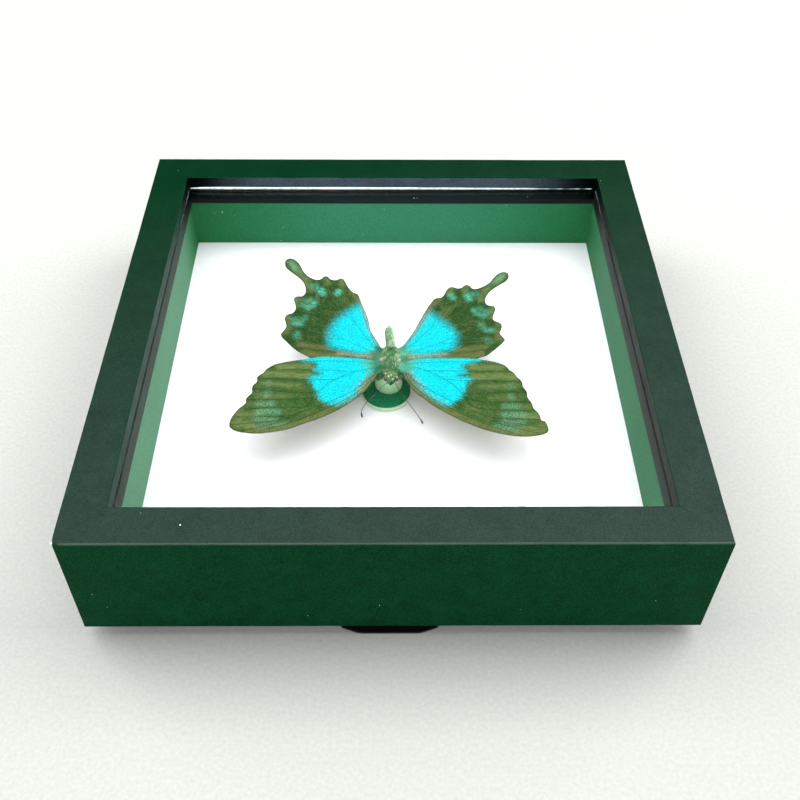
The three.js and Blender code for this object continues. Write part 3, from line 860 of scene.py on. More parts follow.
            (0.7, 1.6, (37.6, 34.4), (41, 38.6)), (0.5, 0.9, (17, 19), (24, 24)),
        ],
        "dust": [(0.65, 1.0, (14.6, 27), (12.8, 21.2), (10.3, 15.2), (6.8, 8.4), (3.8, 3.2))],
    },
}

wingColours = {
    "olive": "#586a3a", "tan": "#5a6034", "brown": "#68583a", "vein": "#14260f", "blueVein": "#06434a",
    "blue": "#03b8be", "blueDeep": "#0299a4", "teal": "#2a9c86", "spot": "#4aa68e", "streak": "#5a8268",
    "tail": "#5a9a7c", "pale": "#b5ab97", "fleck": "#a09a80", "under": "#6b6140", "underPale": "#a1976e",
}

# How the two pairs of wings differ: the blue patch's edge, and the colour of veins in the dark part.
wingFinish = {
    "fore": {
        "soft": 1.4, "fray": 5.2, "speckle": 2.4, "deep": "#204514", "vein": "#14260f", "veinStrength": 0.5,
    },
    "hind": {
        "soft": 2.8, "fray": 3.4, "speckle": 2.6, "deep": "#093606", "vein": "#56562f", "veinStrength": 0.32,
    },
}


def wingScales(pair):
    # overlapping wing scales: matt and powdery, in rows that radiate from the root. The blue ones
    # are structural colour, clean and bright; worn places show as brown specks.
    finish, colours = wingFinish[pair], wingColours
    smooth = {"interpolation_type": "SMOOTHSTEP"}
    material, tree, shader = newMaterial(
        f"wingScaleUpper_{pair}", {"Roughness": 0.7, "Specular IOR Level": 0.06},
    )
    spot = addNode(tree, "TexCoord").outputs["Object"]
    fan = addNode(tree, "UVMap", uv_map="fan")
    marks = {
        name: addNode(tree, "Attribute", attribute_name=name).outputs["Fac"]
        for name in [*wingMesh["softness"], "vein", "edge", "blue", "rootward", "fray"]
    }

    # Lays colours over a tone. Each layer is a mark, the texture that breaks it up, how the texture
    # is ranged, and the colour.
    def paint(tone, layers):
        for mark, texture, low, high, least, most, colour in layers:
            broken = addNode(tree, "MapRange", (texture, low, high, least, most), **smooth)
            amount = addNode(tree, "Math", (mark, broken), operation="MULTIPLY")
            tone = addNode(tree, "Mix", (amount, tone, colour), data_type="RGBA")
        return tone

    # Rows of scales are about 0.1 mm apart, which would not show; the streaks are drawn 0.3 mm wide.
    drawn = addNode(tree, "Mapping", {"Vector": fan, "Scale": (1 / 0.3, 1 / 3, 1)})
    streak = addNode(tree, "TexNoise", (drawn, 1.0, 3.0, 0.6))
    grain = addNode(tree, "TexNoise", (spot, perMetre(0.42), 2.0, 0.7))
    patch = addNode(tree, "TexNoise", (spot, perMetre(4), 4.0))
    both = addNode(tree, "Math", (grain, streak))
    fleck = addNode(tree, "TexVoronoi", {"Vector": spot, "Scale": perMetre(0.5), "Randomness": 1.0})
    pick = addNode(tree, "SeparateColor", (fleck.outputs["Color"],)).outputs
    worn = addNode(tree, "MapRange", (pick["Red"], 0.7, 0.9, 0, 0.5), **smooth)

    cloud = addNode(tree, "Math", (patch, 0.6, streak), operation="MULTIPLY_ADD")
    drift = addNode(tree, "Math", (cloud, 0.9, -0.72), operation="MULTIPLY_ADD")
    rows = addNode(tree, "MapRange", (streak, 0.3, 0.62, 0.5, 1), **smooth)
    oliveness = addNode(tree, "Math", (marks["olive"], rows, drift), operation="MULTIPLY_ADD")
    share = addNode(tree, "MapRange", (oliveness, -0.25, 1.1), **smooth)
    tone = addNode(tree, "Mix", (share, finish["deep"], colours["olive"]), data_type="RGBA")
    tone = paint(tone, [
        (marks["tan"], streak, 0.3, 0.6, 0.4, 1, colours["tan"]),
        (worn, patch, 0.35, 0.65, 0.25, 1, colours["brown"]),
        (marks["streaks"], grain, 0.32, 0.6, 0.15, 1, colours["streak"]),
        (marks["spots"], both, 0.7, 1.2, 0.15, 0.95, colours["spot"]),
        (marks["tail"], grain, 0.3, 0.6, 0.3, 0.9, colours["tail"]),
    ])

    # The blue patch's edge is broken up along the rows of scales.
    fray, speckle = finish["fray"], finish["speckle"]
    wander = addNode(tree, "Math", (streak, fray, -0.5 * fray), operation="MULTIPLY_ADD")
    frayed = addNode(tree, "Math", (wander, marks["fray"], marks["blue"]), operation="MULTIPLY_ADD")
    speck = addNode(tree, "Math", (grain, speckle, -0.5 * speckle), operation="MULTIPLY_ADD")
    depth = addNode(tree, "Math", (frayed, speck))
    inBlue = addNode(tree, "MapRange", (depth, -finish["soft"], finish["soft"]), **smooth)
    lit = addNode(tree, "MapRange", (both, 0.75, 1.2), **smooth)
    blue = addNode(tree, "Mix", (lit, colours["blueDeep"], colours["blue"]), data_type="RGBA")
    blue = addNode(tree, "Mix", (marks["rootward"], blue, colours["teal"]), data_type="RGBA")
    tone = addNode(tree, "Mix", (inBlue, tone, blue), data_type="RGBA")
    # worn and dusty towards the root and the front edge
    tone = paint(tone, [
        (marks["dust"], pick["Green"], 0.35, 0.75, 0, 0.75, colours["brown"]),
        (marks["dust"], pick["Blue"], 0.72, 0.88, 0, 0.35, colours["fleck"]),
        (marks["pale"], grain, 0.3, 0.65, 0.35, 0.8, colours["pale"]),
    ])

    onVein = addNode(tree, "MapRange", (marks["vein"], 0.08, 0.24, finish["veinStrength"], 0), **smooth)
    veinTone = addNode(tree, "Mix", (inBlue, finish["vein"], colours["blueVein"]), data_type="RGBA")
    tone = addNode(tree, "Mix", (onVein, tone, veinTone), data_type="RGBA")
    rim = addNode(tree, "MapRange", (marks["edge"], 0.08, 0.4, 0.4, 0), **smooth)
    tone = addNode(tree, "Mix", (rim, tone, colours["vein"]), data_type="RGBA")
    shade = addNode(tree, "MapRange", (grain, 0.25, 0.75, 0.74, 1.3), **smooth)
    tone = addNode(tree, "Mix", (1.0, tone, shade), data_type="RGBA", blend_type="MULTIPLY")
    relief = addNode(tree, "Bump", {"Strength": 0.5, "Distance": 0.03 * mm, "Height": both})
    fill(tree, shader, {"Base Color": tone, "Normal": relief})
    return material


def buildWing(node, spec, upperLook, underLook):
    random = np.random.default_rng(spec["seed"])
    side = spec["side"]
    outline, level = cadOutline(node, side)
    edge = smoothLine(outline, wingMesh["edgeSpacing"], closed=True)
    edge = edge[np.linalg.norm(edge - np.roll(edge, 1, 0), axis=1) > 0.05]
    middle = edge.mean(0)
    ragged = random.uniform(-1, 1, len(edge)) * wingMesh["fringe"]
    inward = (middle - edge) / np.linalg.norm(middle - edge, axis=1)[:, None]
    edge = edge + inward * (wingMesh["inset"] + ragged)[:, None]
    shift = np.array([0, spec["shift"]])
    veins = [smoothLine(route, 0.5) + shift for route in spec["veins"]]

    # Points in rows, with extra rows on and beside each vein, joined into a clean net.
    step = wingMesh["spacing"]
    low, high = edge.min(0), edge.max(0)
    rows = np.arange(low[1], high[1], step * 0.866)
    outs = np.arange(low[0], high[0], step)
    filling = np.vstack([
        np.stack([outs + (i % 2) * step / 2, np.full(len(outs), row)], 1) for i, row in enumerate(rows)
    ])
    filling += random.uniform(-0.12, 0.12, filling.shape) * step
    clear = veinDistance(filling, veins) > wingMesh["veinHalf"] + step * 0.3
    filling = filling[clear & (depthInside(filling, edge) > step * 0.45)]
    points, links = [edge], [(i, (i + 1) % len(edge)) for i in range(len(edge))]
    total = len(edge)
    for line in veins:
        across = np.gradient(line, axis=0)
        across = np.stack([-across[:, 1], across[:, 0]], 1) / np.linalg.norm(across, axis=1)[:, None]
        taper = np.linspace(1.3, 0.7, len(line))[:, None]
        for offset in (-1, 0, 1):
            track = line + across * offset * wingMesh["veinHalf"] * taper
            track = track[depthInside(track, edge) > 0.12]
            points.append(track)
            links += [(total + i, total + i + 1) for i in range(len(track) - 1)
                      if np.linalg.norm(track[i] - track[i + 1]) < 1.5]
            total += len(track)
    points.append(filling)
    flat = np.vstack(points)
    made = delaunay_2d_cdt([Vector(p) for p in flat], links, [], 0, 1e-4, False)
    flat = np.array([tuple(v) for v in made[0]])
    faces = np.array([f for f in made[2] if len(f) == 3])
    centres = flat[faces].mean(1)
    faces = faces[isInside(centres, edge)]
    used = np.unique(faces)
    again = np.full(len(flat), -1)
    again[used] = np.arange(len(used))
    flat, faces = flat[used], again[faces]
    if side < 0:
        faces = faces[:, ::-1]

    # Veins stand up as ribs, the skin sags between them, and the margin waves a little.
    toVein = veinDistance(flat, veins)
    within = fade(loopDistance(flat, edge), 0.2, 3)
    lift = np.full(len(flat), level)
    lift -= wingMesh["sag"] * within * fade(toVein, 0, wingMesh["sagReach"])
    lift += wingMesh["wander"] * ripple(flat / 7, spec["seed"]) * fade(flat[:, 0], 5, 20)
    lift += wingMesh["arch"] * within * np.sin(np.clip((flat[:, 0] - 3) / 40, 0, 1) * math.pi)
    lift += wingMesh["veinHeight"] * (toVein < 0.03)
    piece = newPiece(f"{node}Scaled", fromWing(flat, lift, side), [tuple(f) for f in faces])
    shell = piece.modifiers.new("thickness", "SOLIDIFY")
    shell.thickness = wingMesh["thickness"] * mm
    shell.offset = 0
    applyAll(piece)

    mesh = piece.data
    flat, _ = toWing(pointsOf(mesh), side)
    own = flat - shift
    toVein = veinDistance(flat, veins)
    root = np.array(wingMesh["root"], float)
    reach = np.linalg.norm(own - root, axis=1)
    patch = smoothLine(spec["blue"], 0.6, closed=True)
    fields = {name: strokes(own, spec.get(name, []), soft) for name, soft in wingMesh["softness"].items()}
    fields["vein"] = toVein
    fields["edge"] = loopDistance(flat, edge)
    fields["blue"] = depthInside(own, patch)
    fields["rootward"] = 1 - fade(reach, 3.2, 10.5)
    fields["dust"] = np.maximum(0.55 * (1 - fade(reach, 3.5, 9)), fields["dust"])
    outwards = (own - root) / np.maximum(reach, 0.1)[:, None]
    further = depthInside(own + outwards * 0.6, patch)
    fields["fray"] = np.clip(np.abs(further - fields["blue"]) / 0.6, 0, 1)
    for name, values in fields.items():
        mesh.attributes.new(name, "FLOAT", "POINT").data.foreach_set("value", values.astype(np.float32))
    angle = np.arctan2(own[:, 1] - root[1], own[:, 0] - root[0])
    fan = np.stack([angle * 25, reach], 1)
    corners = np.zeros(len(mesh.loops), np.int32)
    mesh.loops.foreach_get("vertex_index", corners)
    mesh.uv_layers.new(name="fan").data.foreach_set("uv", fan[corners].astype(np.float32).ravel())
    giveMaterial(piece, upperLook, underLook)
    normals = np.array([f.normal for f in mesh.polygons])
    mesh.polygons.foreach_set("material_index", (normals[:, 2] < -0.3).astype(np.int32))
    bpy.ops.object.shade_smooth_by_angle(angle=math.radians(60))
    finishPiece(piece, "wing_scales", node)
    print(node, len(mesh.polygons), "faces")


# the underside's scales are plain brown, matt and powdery
underLook = mottled("wingScaleUnder", (wingColours["under"], wingColours["underPale"]), 1.2, 0.8, 0.02)
looks = {pair: wingScales(pair) for pair in wingFinish}
for node, spec in wings.items():
    buildWing(node, spec, looks[node[:4]], underLook)
print("wings built")

# The insect's body. Positions are in millimetres in the frame's own axes.

body = {
    "abdomen": [  # along, across, height of the middle, half width, half height
        (1.0, -0.85, 25.7, 2.2, 2.2), (2.6, -0.78, 25.7, 1.95, 2.0), (4.1, -0.7, 25.8, 1.56, 1.75),
        (6.6, -0.97, 25.9, 1.57, 1.8), (8.6, -1.17, 26, 1.48, 1.7), (10.7, -1.35, 26.1, 1.5, 1.6),
        (12.0, -1.4, 26.2, 1.2, 1.25), (13.1, -1.15, 26.2, 0.74, 0.8), (13.8, -0.95, 26.2, 0.38, 0.4),
        (14.2, -0.85, 26.2, 0.1, 0.12),
    ],
    "thorax": [
        (-9.4, -0.8, 25.3, 1.3, 1.3), (-8.6, -0.8, 25.5, 2.0, 1.7), (-7.6, -0.9, 25.9, 2.4, 2.1),
        (-6.2, -1, 26.1, 2.7, 2.7), (-4.2, -1, 26.1, 3.0, 2.9), (-1.8, -1, 26.1, 2.95, 2.85),
        (0.6, -1, 26, 2.5, 2.5), (2.6, -0.85, 25.8, 1.8, 1.9), (3.6, -0.8, 25.7, 1.0, 1.1),
    ],
    "head": [
        (-8.1, -0.7, 25.8, 1.4, 1.3), (-9, -0.6, 25.9, 2.0, 1.6), (-10.2, -0.6, 26, 2.05, 1.65),
        (-11.4, -0.6, 25.9, 1.5, 1.45), (-12.3, -0.8, 25.6, 1.0, 1.05), (-12.9, -0.9, 25.4, 0.5, 0.6),
    ],
    "segment": 1.7, "groove": 0.07, "ringSpacing": 0.22, "ringSides": 30,
    "eye": (1.75, -10.9, 25.9), "eyeRadius": (0.7, 1.05, 0.9), "eyeMiddle": -0.7,
    "scales": ("#2b4a26", "#668a56"), "abdomenScales": ("#3f5a3c", "#7f9f70"),
    "coatTones": ("#1f421f", "#488a48", "#4cae84", "#b0a874", "#e4eac2"),
    "abdomenTones": ("#5a6446", "#92bc8c", "#94e2b8", "#f0fbe8"),
    "baseTones": ("#2f7a52", "#529a72", "#35bda8", "#a8a67c"),
    "tuftTones": ("#0c5a3e", "#1fa07c", "#b9c49a", "#fbfbf0"),
    "eyeColour": ("#3f4530", "#766850"), "chitin": ("#12150c", "#262b1a"),
    "hairs": {"thorax": 3200, "abdomen": 1800, "head": 1500, "neck": 1500, "wingBase": 1700},
    "tufts": [  # place, radius, number of hairs and tone
        (-3.85, -4.0, 28.1, 0.4, 60, 0.9), (2.1, -4.2, 28.1, 0.4, 60, 0.9),
        (-0.9, -7.2, 28.7, 0.55, 90, 0.36), (-1.5, -11.4, 27.6, 0.13, 16, 1.0),
        (-0.7, -11.0, 27.8, 0.13, 16, 1.0), (-0.2, -12.2, 27.2, 0.13, 14, 1.0),
        (1.2, -11.3, 27.2, 0.13, 14, 0.95), (-2.5, -9.8, 27.4, 0.2, 18, 0.85),
        (-0.6, -13.0, 26.2, 0.5, 110, 0.05), (-0.8, -8.8, 27.7, 0.45, 70, 0.33),
        (-3.0, -1.8, 28, 0.55, 60, 0.66), (1.2, -2.0, 28.1, 0.55, 60, 0.66),
        (-3.1, -5.8, 28, 0.5, 50, 0.64), (1.5, -6.0, 28, 0.5, 50, 0.64),
        (-0.8, 1.6, 28.4, 0.5, 60, 0.8),
    ],
}


def extrudeRings(name, rings, sides):
    along, across, height, wide, tall = rings[0]
    bpy.ops.object.select_all(action="DESELECT")
    bpy.ops.mesh.primitive_circle_add(
        vertices=sides, radius=mm, fill_type="NGON", rotation=(math.pi / 2, 0, 0),
        location=(across * mm, along * mm, height * mm),
    )
    piece = bpy.context.active_object
    piece.name = name
    bpy.ops.object.transform_apply(location=True, rotation=True, scale=True)
    bpy.ops.object.mode_set(mode="EDIT")
    bpy.ops.mesh.select_all(action="SELECT")
    bpy.ops.transform.resize(
        value=(wide, 1, tall), center_override=(across * mm, along * mm, height * mm),
    )
    for before, after in zip(rings, rings[1:]):
        move = ((after[1] - before[1]) * mm, (after[0] - before[0]) * mm, (after[2] - before[2]) * mm)
        bpy.ops.mesh.extrude_region_move(TRANSFORM_OT_translate={"value": move})
        bpy.ops.transform.resize(
            value=(after[3] / before[3], 1, after[4] / before[4]),
            center_override=(after[1] * mm, after[0] * mm, after[2] * mm),
        )
    bpy.ops.mesh.select_all(action="SELECT")
    bpy.ops.mesh.normals_make_consistent(inside=False)
    bpy.ops.object.mode_set(mode="OBJECT")
    bpy.ops.object.shade_smooth()
    return piece


# Hairs are three-sided spikes with a bend. All arguments are arrays with one row per hair.
def growHair(name, roots, ways, lengths, widths, sag, tones, material):
    ways = ways / np.linalg.norm(ways, axis=1)[:, None]
    side = np.cross(ways, (0.3, 0.2, 1))
    side /= np.linalg.norm(side, axis=1)[:, None]
    other = np.cross(ways, side)
    points = np.zeros((len(roots), 7, 3))
    middle = roots + ways * (lengths * 0.5)[:, None]
    tip = roots + ways * lengths[:, None] + sag * lengths[:, None]
    for i in range(3):
        turn = i * math.tau / 3
        spoke = (side * math.cos(turn) + other * math.sin(turn)) * widths[:, None]
        points[:, i] = roots + spoke
        points[:, 3 + i] = middle + spoke * 0.75 + sag * lengths[:, None] * 0.25
    points[:, 6] = tip
    base = np.arange(len(roots))[:, None] * 7
    faces = []
    for i in range(3):
        j = (i + 1) % 3
        faces += (base + np.array([i, j, 3 + j, 3 + i])).tolist()
        faces += (base + np.array([3 + i, 3 + j, 6])).tolist()
    faces += (base + np.array([2, 1, 0])).tolist()
    piece = newPiece(name, points.reshape(-1, 3) * mm, faces)
    values = np.repeat(tones, 7).astype(np.float32)
    piece.data.attributes.new("tone", "FLOAT", "POINT").data.foreach_set("value", values)
    giveMaterial(piece, material)
    finishPiece(piece, "body_scales")


def hairLook(name, colours):
    # scale hairs: fine, soft and slightly glossy
    material, tree, shader = newMaterial(name, {"Roughness": 0.6, "Specular IOR Level": 0.2})
    tone = addNode(tree, "Attribute", attribute_name="tone").outputs["Fac"]
    stops = [(i / (len(colours) - 1), colour) for i, colour in enumerate(colours)]
    fill(tree, shader, {"Base Color": addNode(tree, "ValToRGB", (tone,), stops=stops)})
    return material


# Points all over a ringed body: [along, turn from the top] to a place and the way outwards.
def onRings(rings, along, turn):
    keys = np.array(rings)
    across, height, wide, tall = (np.interp(along, keys[:, 0], keys[:, i]) for i in (1, 2, 3, 4))
    out = np.stack([np.sin(turn) / wide, np.zeros_like(turn), np.cos(turn) / tall], 1)
    place = np.stack([across + wide * np.sin(turn) * 0.97, along, height + tall * np.cos(turn) * 0.97], 1)
    return place, out / np.linalg.norm(out, axis=1)[:, None]


def buildBody():
    # body scales: matt, dark with a pale dusting
    scaled = mottled("bodyScales", body["scales"], 0.5, 0.75, 0.05)
    paler = mottled("abdomenScales", body["abdomenScales"], 0.5, 0.75, 0.05)
    chitin = mottled("brownChitin", body["chitin"], 0.3, 0.35, 0.005)
    eyeLook = mottled("compoundEye", body["eyeColour"], 0.25, 0.3, 0.02)
    for name in ("abdomen", "thorax", "head"):
        rings = smoothLine(body[name], body["ringSpacing"])
        if name == "abdomen":
            pinch = np.abs(((rings[:, 0] - 2) / body["segment"] + 0.5) % 1 - 0.5) * 2
            rings[:, 3:] *= (1 - body["groove"] * (1 - pinch) ** 6)[:, None]
        rings[:, 3:] = np.maximum(rings[:, 3:], 0.04)
        piece = extrudeRings(f"insect{name.title()}", rings, body["ringSides"])
        giveMaterial(piece, paler if name == "abdomen" else scaled)
        finishPiece(piece, "body_scales", *(["butterfly_body"] if name == "thorax" else []))
    across, along, height = body["eye"]
    for side, word in ((-1, "Left"), (1, "Right")):
        place = Vector((body["eyeMiddle"] + side * across, along, height)) * mm
        bpy.ops.mesh.primitive_uv_sphere_add(
            segments=32, ring_count=20, radius=mm, location=place, scale=body["eyeRadius"],
        )
        eye = bpy.context.active_object
        eye.name = f"insectEye{word}"
        bpy.ops.object.transform_apply(location=True, rotation=True, scale=True)
        bpy.ops.object.shade_smooth()
        giveMaterial(eye, eyeLook)
        finishPiece(eye, "chitin")

    random = np.random.default_rng(31)
    coat = hairLook("thoraxHair", body["coatTones"])

    def swept(out, up, back, spread):
        return out * up + np.array([0, back, 0]) + random.normal(0, spread, out.shape)

    def clumped(roots, size, middle, swing):
        near = ripple(roots / size, 71) * 0.6 + ripple(roots / size * 2.1, 72) * 0.4
        return np.clip(middle + near * swing + random.normal(0, 0.16, len(roots)), 0, 1)

    count = body["hairs"]["thorax"]
    along, turn = random.uniform(-8.4, 3.2, count), random.uniform(-1.9, 1.9, count)
    roots, out = onRings(body["thorax"], along, turn)
    golden = fade(np.abs(roots[:, 0] + 0.9), 1.1, 2.2) * (1 - fade(np.abs(along + 2.4), 2, 4.2))
    tones = clumped(roots, 0.32, 0.42, 0.7) + 0.26 * golden + 0.3 * fade(along, 0.8, 2.6)
    dark = np.exp(-((roots[:, 0] + 0.9) / 0.9) ** 2 - ((along + 0.6) / 1.3) ** 2)
    tones = np.clip(tones * (1 - 0.85 * dark), 0, 1)
    growHair(
        "insectThoraxHair", roots, swept(out, 0.6, 0.6, 0.42), random.uniform(0.6, 1.4, count),
        random.uniform(0.045, 0.08, count), np.array([0, 0, -0.12]), tones, coat,
    )
    count = body["hairs"]["abdomen"]
    along, turn = random.uniform(1.8, 13.4, count), random.uniform(-2.2, 2.2, count)
    roots, out = onRings(body["abdomen"], along, turn)
    tones = clumped(roots, 0.4, 0.45, 0.75) + 0.3 * np.sin(turn) + 0.35 * (1 - fade(along, 3, 6))
    growHair(
        "insectAbdomenHair", roots, swept(out, 0.2, 1.0, 0.2), random.uniform(0.3, 0.6, count),
        random.uniform(0.04, 0.07, count), np.array([0, 0, -0.05]), np.clip(tones, 0, 1),
        hairLook("abdomenHair", body["abdomenTones"]),
    )
    count = body["hairs"]["head"]
    along, turn = random.uniform(-12.4, -7.2, count), random.uniform(-2.0, 2.0, count)
    roots, out = onRings(body["head"], along, turn)
    shaggy = 1 + 1.1 * fade(along, -11, -8.5) * fade(np.abs(turn), 0.5, 1.4)
    growHair(
        "insectHeadHair", roots, swept(out, 0.9, -0.3, 0.6), random.uniform(0.4, 1.15, count) * shaggy,
        random.uniform(0.035, 0.06, count), np.array([0, 0, -0.1]),
        clumped(roots, 0.45, 0.5, 0.75) * (0.35 + 0.65 * fade(along, -12, -10)), coat,
    )
    # Shorter hair fills both sides of the neck, down to the foam.
    count = body["hairs"]["neck"]
    side = np.where(random.random(count) < 0.5, -1, 1)
    outward = random.uniform(1.2, 4.6, count)
    roots = np.stack([-1.1 + side * outward, random.uniform(-9.6, -5.2, count), 25.9 - 0.62 * outward], 1)
    roots[:, 2] += random.normal(0, 0.25, count)
    out = np.stack([side * 0.7, np.full(count, -0.25), np.full(count, 0.5)], 1)
    growHair(
        "insectNeckHair", roots, out + random.normal(0, 0.3, out.shape), random.uniform(0.5, 1.1, count),
        random.uniform(0.04, 0.07, count), np.array([0, -0.05, -0.2]), clumped(roots, 0.5, 0.36, 0.8), coat,
    )
    # Long hairs lie out from the thorax over the roots of the wings.
    count = body["hairs"]["wingBase"]
    side = np.where(random.random(count) < 0.5, -1, 1)
    along = random.uniform(-8.0, 1.6, count)
    across = insect["axisX"] + side * random.uniform(2.0, 3.2, count)
    roots = np.stack([across, along, random.uniform(27.0, 27.6, count)], 1)
    out = np.stack([side * 1.0, (along + 3.2) * 0.2, np.full(count, -0.13)], 1)
    growHair(
        "insectWingBaseHair", roots, out + random.normal(0, 0.14, out.shape) * (1, 1.6, 0.4),
        random.uniform(0.9, 4.4, count), random.uniform(0.025, 0.05, count), np.array([0, 0.05, -0.02]),
        clumped(roots, 0.6, 0.5, 0.8), hairLook("wingBaseHair", body["baseTones"]),
    )
    tufts = body["tufts"]
    counts = [t[4] for t in tufts]
    roots = np.repeat(np.array([t[:3] for t in tufts]), counts, 0)
    roots += random.normal(0, 0.5, roots.shape) * np.repeat([t[3] for t in tufts], counts)[:, None]
    growHair(
        "insectTufts", roots - np.array([0, 0, 0.4]),
        random.normal(0, 0.35, roots.shape) + np.array([0, 0.2, 1]),
        random.uniform(0.4, 0.75, len(roots)), random.uniform(0.04, 0.07, len(roots)), np.array([0, 0, 0]),
        np.clip(np.repeat([t[5] for t in tufts], counts) + random.normal(0, 0.05, len(roots)), 0, 1),
        hairLook("tuftHair", body["tuftTones"]),
    )
    return chitin


# A tube drawn along a route, with its own radius at each point.
def drawTube(name, route, radii, material, slotName, *nodes):
    curve = bpy.data.curves.new(name, "CURVE")
    curve.dimensions = "3D"
    curve.bevel_depth = mm
    curve.bevel_resolution = 3
    curve.use_fill_caps = True
    line = curve.splines.new("POLY")
    line.points.add(len(route) - 1)
    for point, place, radius in zip(line.points, route, radii):
        point.co = (*(Vector(place) * mm), 1)
        point.radius = radius
    drawn = bpy.data.objects.new(name, curve)
    bpy.context.scene.collection.objects.link(drawn)
    bpy.ops.object.select_all(action="DESELECT")
    bpy.context.view_layer.objects.active = drawn
    drawn.select_set(True)
    bpy.ops.object.convert(target="MESH")
    piece = bpy.context.active_object
    bpy.ops.object.shade_smooth()
    giveMaterial(piece, material)
    finishPiece(piece, slotName, *nodes)


antennae = {
    "left": [
        (0.2, -12.2, 26.5), (1.6, -13.8, 26.4), (3.6, -16.2, 26.2), (5.6, -18.9, 26.1),
        (7.5, -21.6, 26.1), (8.6, -23.8, 26.1), (9.1, -26, 26.1), (8.75, -28.2, 26.1),
    ],
    "right": [
        (1.2, -12.3, 26.5), (2.9, -16.6, 26.3), (4.6, -19.9, 26.2), (6.5, -23.2, 26.1),
        (8.6, -27.1, 26.1), (9.9, -29.8, 26.1), (10.15, -30.9, 26.1),
    ],
    "radius": 0.1, "club": 0.28, "clubLength": 2.6,
}


def buildAntennae(chitin):
    for word, side in (("left", -1), ("right", 1)):
        route = smoothLine(antennae[word], 0.25)
        route[:, 0] = insect["axisX"] + side * route[:, 0]
        steps = np.linalg.norm(np.diff(route, axis=0), axis=1)
        toTip = np.append(np.cumsum(steps[::-1])[::-1], 0)
        swell = fade(-toTip, -antennae["clubLength"], -0.9) * (antennae["club"] - antennae["radius"])
        radii = (antennae["radius"] + swell) * np.sqrt(np.clip(toTip / 0.35, 0.05, 1))
        drawTube(f"insectAntenna_{word}", route, radii, chitin, "chitin", f"antenna_{word}")


chitin = buildBody()
buildAntennae(chitin)
print("body, hair and antennae built")


# Glue along the glass's far edge, and dust

trims = {
    "glue": ("#e3e8e8", "#aeb6b6"), "thread": ("#64706e", "#4c5552"), "dust": ("#e6efe4", "#e6efe4"),
    "farGlue": 0.5, "sideGlue": 0.12, "glassTop": 40.1, "lip": 76.65,
    "glassDust": [
        (-62.5, 61.6, 0.2), (-65.3, 61, 0.12), (-3.2, 63.2, 0.12), (-39.7, 44.7, 0.15), (-52.5, 42.7, 0.14),
        (-39.5, 52.3, 0.11), (-10.9, 48.1, 0.11), (7.9, 70.5, 0.2), (9.1, 70.6, 0.15), (50.4, 71.6, 0.14),
        (42.1, 66, 0.1), (17.3, 55.6, 0.09), (39.5, 60.5, 0.09), (28.5, 67.3, 0.1), (29.5, -16.5, 0.13),
    ],
    "railDust": [
        (-56.2, -82.8, 0.24), (-67.2, -78.9, 0.1), (-88.7, -88.6, 0.3), (-80.6, 81, 0.1),
        (77.6, 75, 0.12),
    ],
    "frontDust": [
        (-4.0, 15.5, 0.13), (-24.5, 10.1, 0.11), (-80.4, 14.9, 0.12), (-83.2, 21.3, 0.14),
        (-46.4, 3.1, 0.08), (35.9, 13.0, 0.08), (73.3, 17.6, 0.09),
    ],
    "scattered": 90,
}


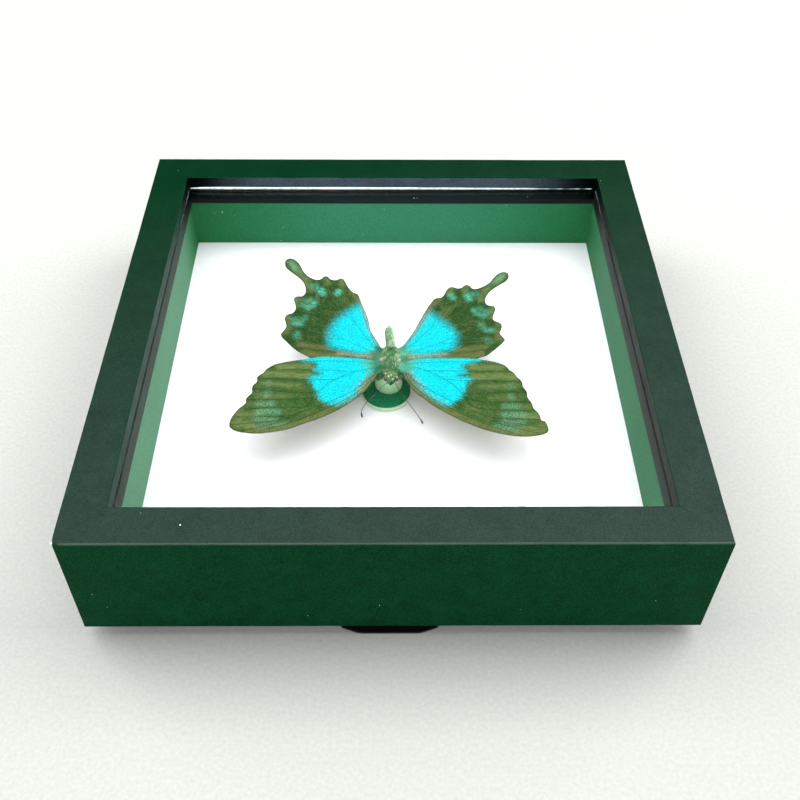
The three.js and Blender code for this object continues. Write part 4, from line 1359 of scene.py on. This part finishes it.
def buildGlue():
    # white glue, set glossy and slightly milky
    milky = {"Subsurface Weight": 0.2, "Subsurface Scale": 0.001}
    glue = mottled("driedWhiteGlue", trims["glue"], 1.5, 0.3, 0.02, milky)
    reach = trims["lip"] - 0.3
    x = np.arange(-reach + 0.3, reach - 0.5, 0.8)
    thick = trims["farGlue"] * (1 - 0.35 * fade(x, -10, 50)) * (0.45 + 0.55 * fade(x, -reach, -71))
    thick *= 0.92 + 0.1 * ripple(x[:, None] / 3, 51)
    broken = fade(x, 50, 60)
    thick = thick * (1 - broken) + broken * 0.14 * np.clip(0.4 + ripple(x[:, None] / 1.2, 55), 0.1, 1)
    route = np.stack([x, np.full(len(x), trims["lip"]) - thick, trims["glassTop"] + thick * 0.9], 1)
    drawTube("glueFar", route, thick, glue, "liner")
    thread = mottled("driedGreyGlue", trims["thread"], 0.8, 0.5, 0.02)
    for word, side, low, seed in (("Left", -1, 33, 52), ("Right", 1, 50, 53)):
        y = np.arange(reach - 0.6, low, -0.45)
        uneven = np.clip(0.55 + ripple(y[:, None] / 1.1, seed), 0.12, 1.2)
        strength = trims["sideGlue"] * fade(y, low, reach) * uneven
        inset = strength + 0.25 * np.abs(ripple(y[:, None] / 2.5, seed + 4))
        route = np.stack([side * (trims["lip"] - inset), y, trims["glassTop"] + strength * 0.9], 1)
        drawTube(f"glue{word}", route, strength, thread, "liner")


def buildDust():
    # stray lint and grit: white and matt
    random = np.random.default_rng(61)
    high = rail["back"] + rail["depth"]
    flecks = [(x, y, trims["glassTop"], r) for x, y, r in trims["glassDust"]]
    flecks += [(x, y, high, r) for x, y, r in trims["railDust"]]
    for _ in range(trims["scattered"]):
        x, y = random.uniform(-75, 75, 2)
        flecks.append((x, y, trims["glassTop"], random.uniform(0.03, 0.07)))
    flecks += [(x, -rail["side"] / 2 - 0.03, z, r) for x, z, r in trims["frontDust"]]
    parts = []
    for x, y, z, radius in flecks:
        bpy.ops.mesh.primitive_ico_sphere_add(
            subdivisions=1, radius=radius * mm, location=(x * mm, y * mm, (z + radius * 0.3) * mm),
            scale=(1, random.uniform(0.5, 1), 0.4), rotation=(0, 0, random.uniform(0, 3.1)),
        )
        parts.append(bpy.context.active_object)
    bpy.ops.object.select_all(action="DESELECT")
    for part in parts:
        part.select_set(True)
    bpy.context.view_layer.objects.active = parts[0]
    bpy.ops.object.join()
    piece = bpy.context.active_object
    piece.name = "dustFlecks"
    bpy.ops.object.transform_apply(location=True, rotation=True, scale=True)
    giveMaterial(piece, mottled("whiteLint", trims["dust"], 0.2, 0.9, 0.01))
    finishPiece(piece, "white_board")


buildGlue()
buildDust()
print("glue and dust added")
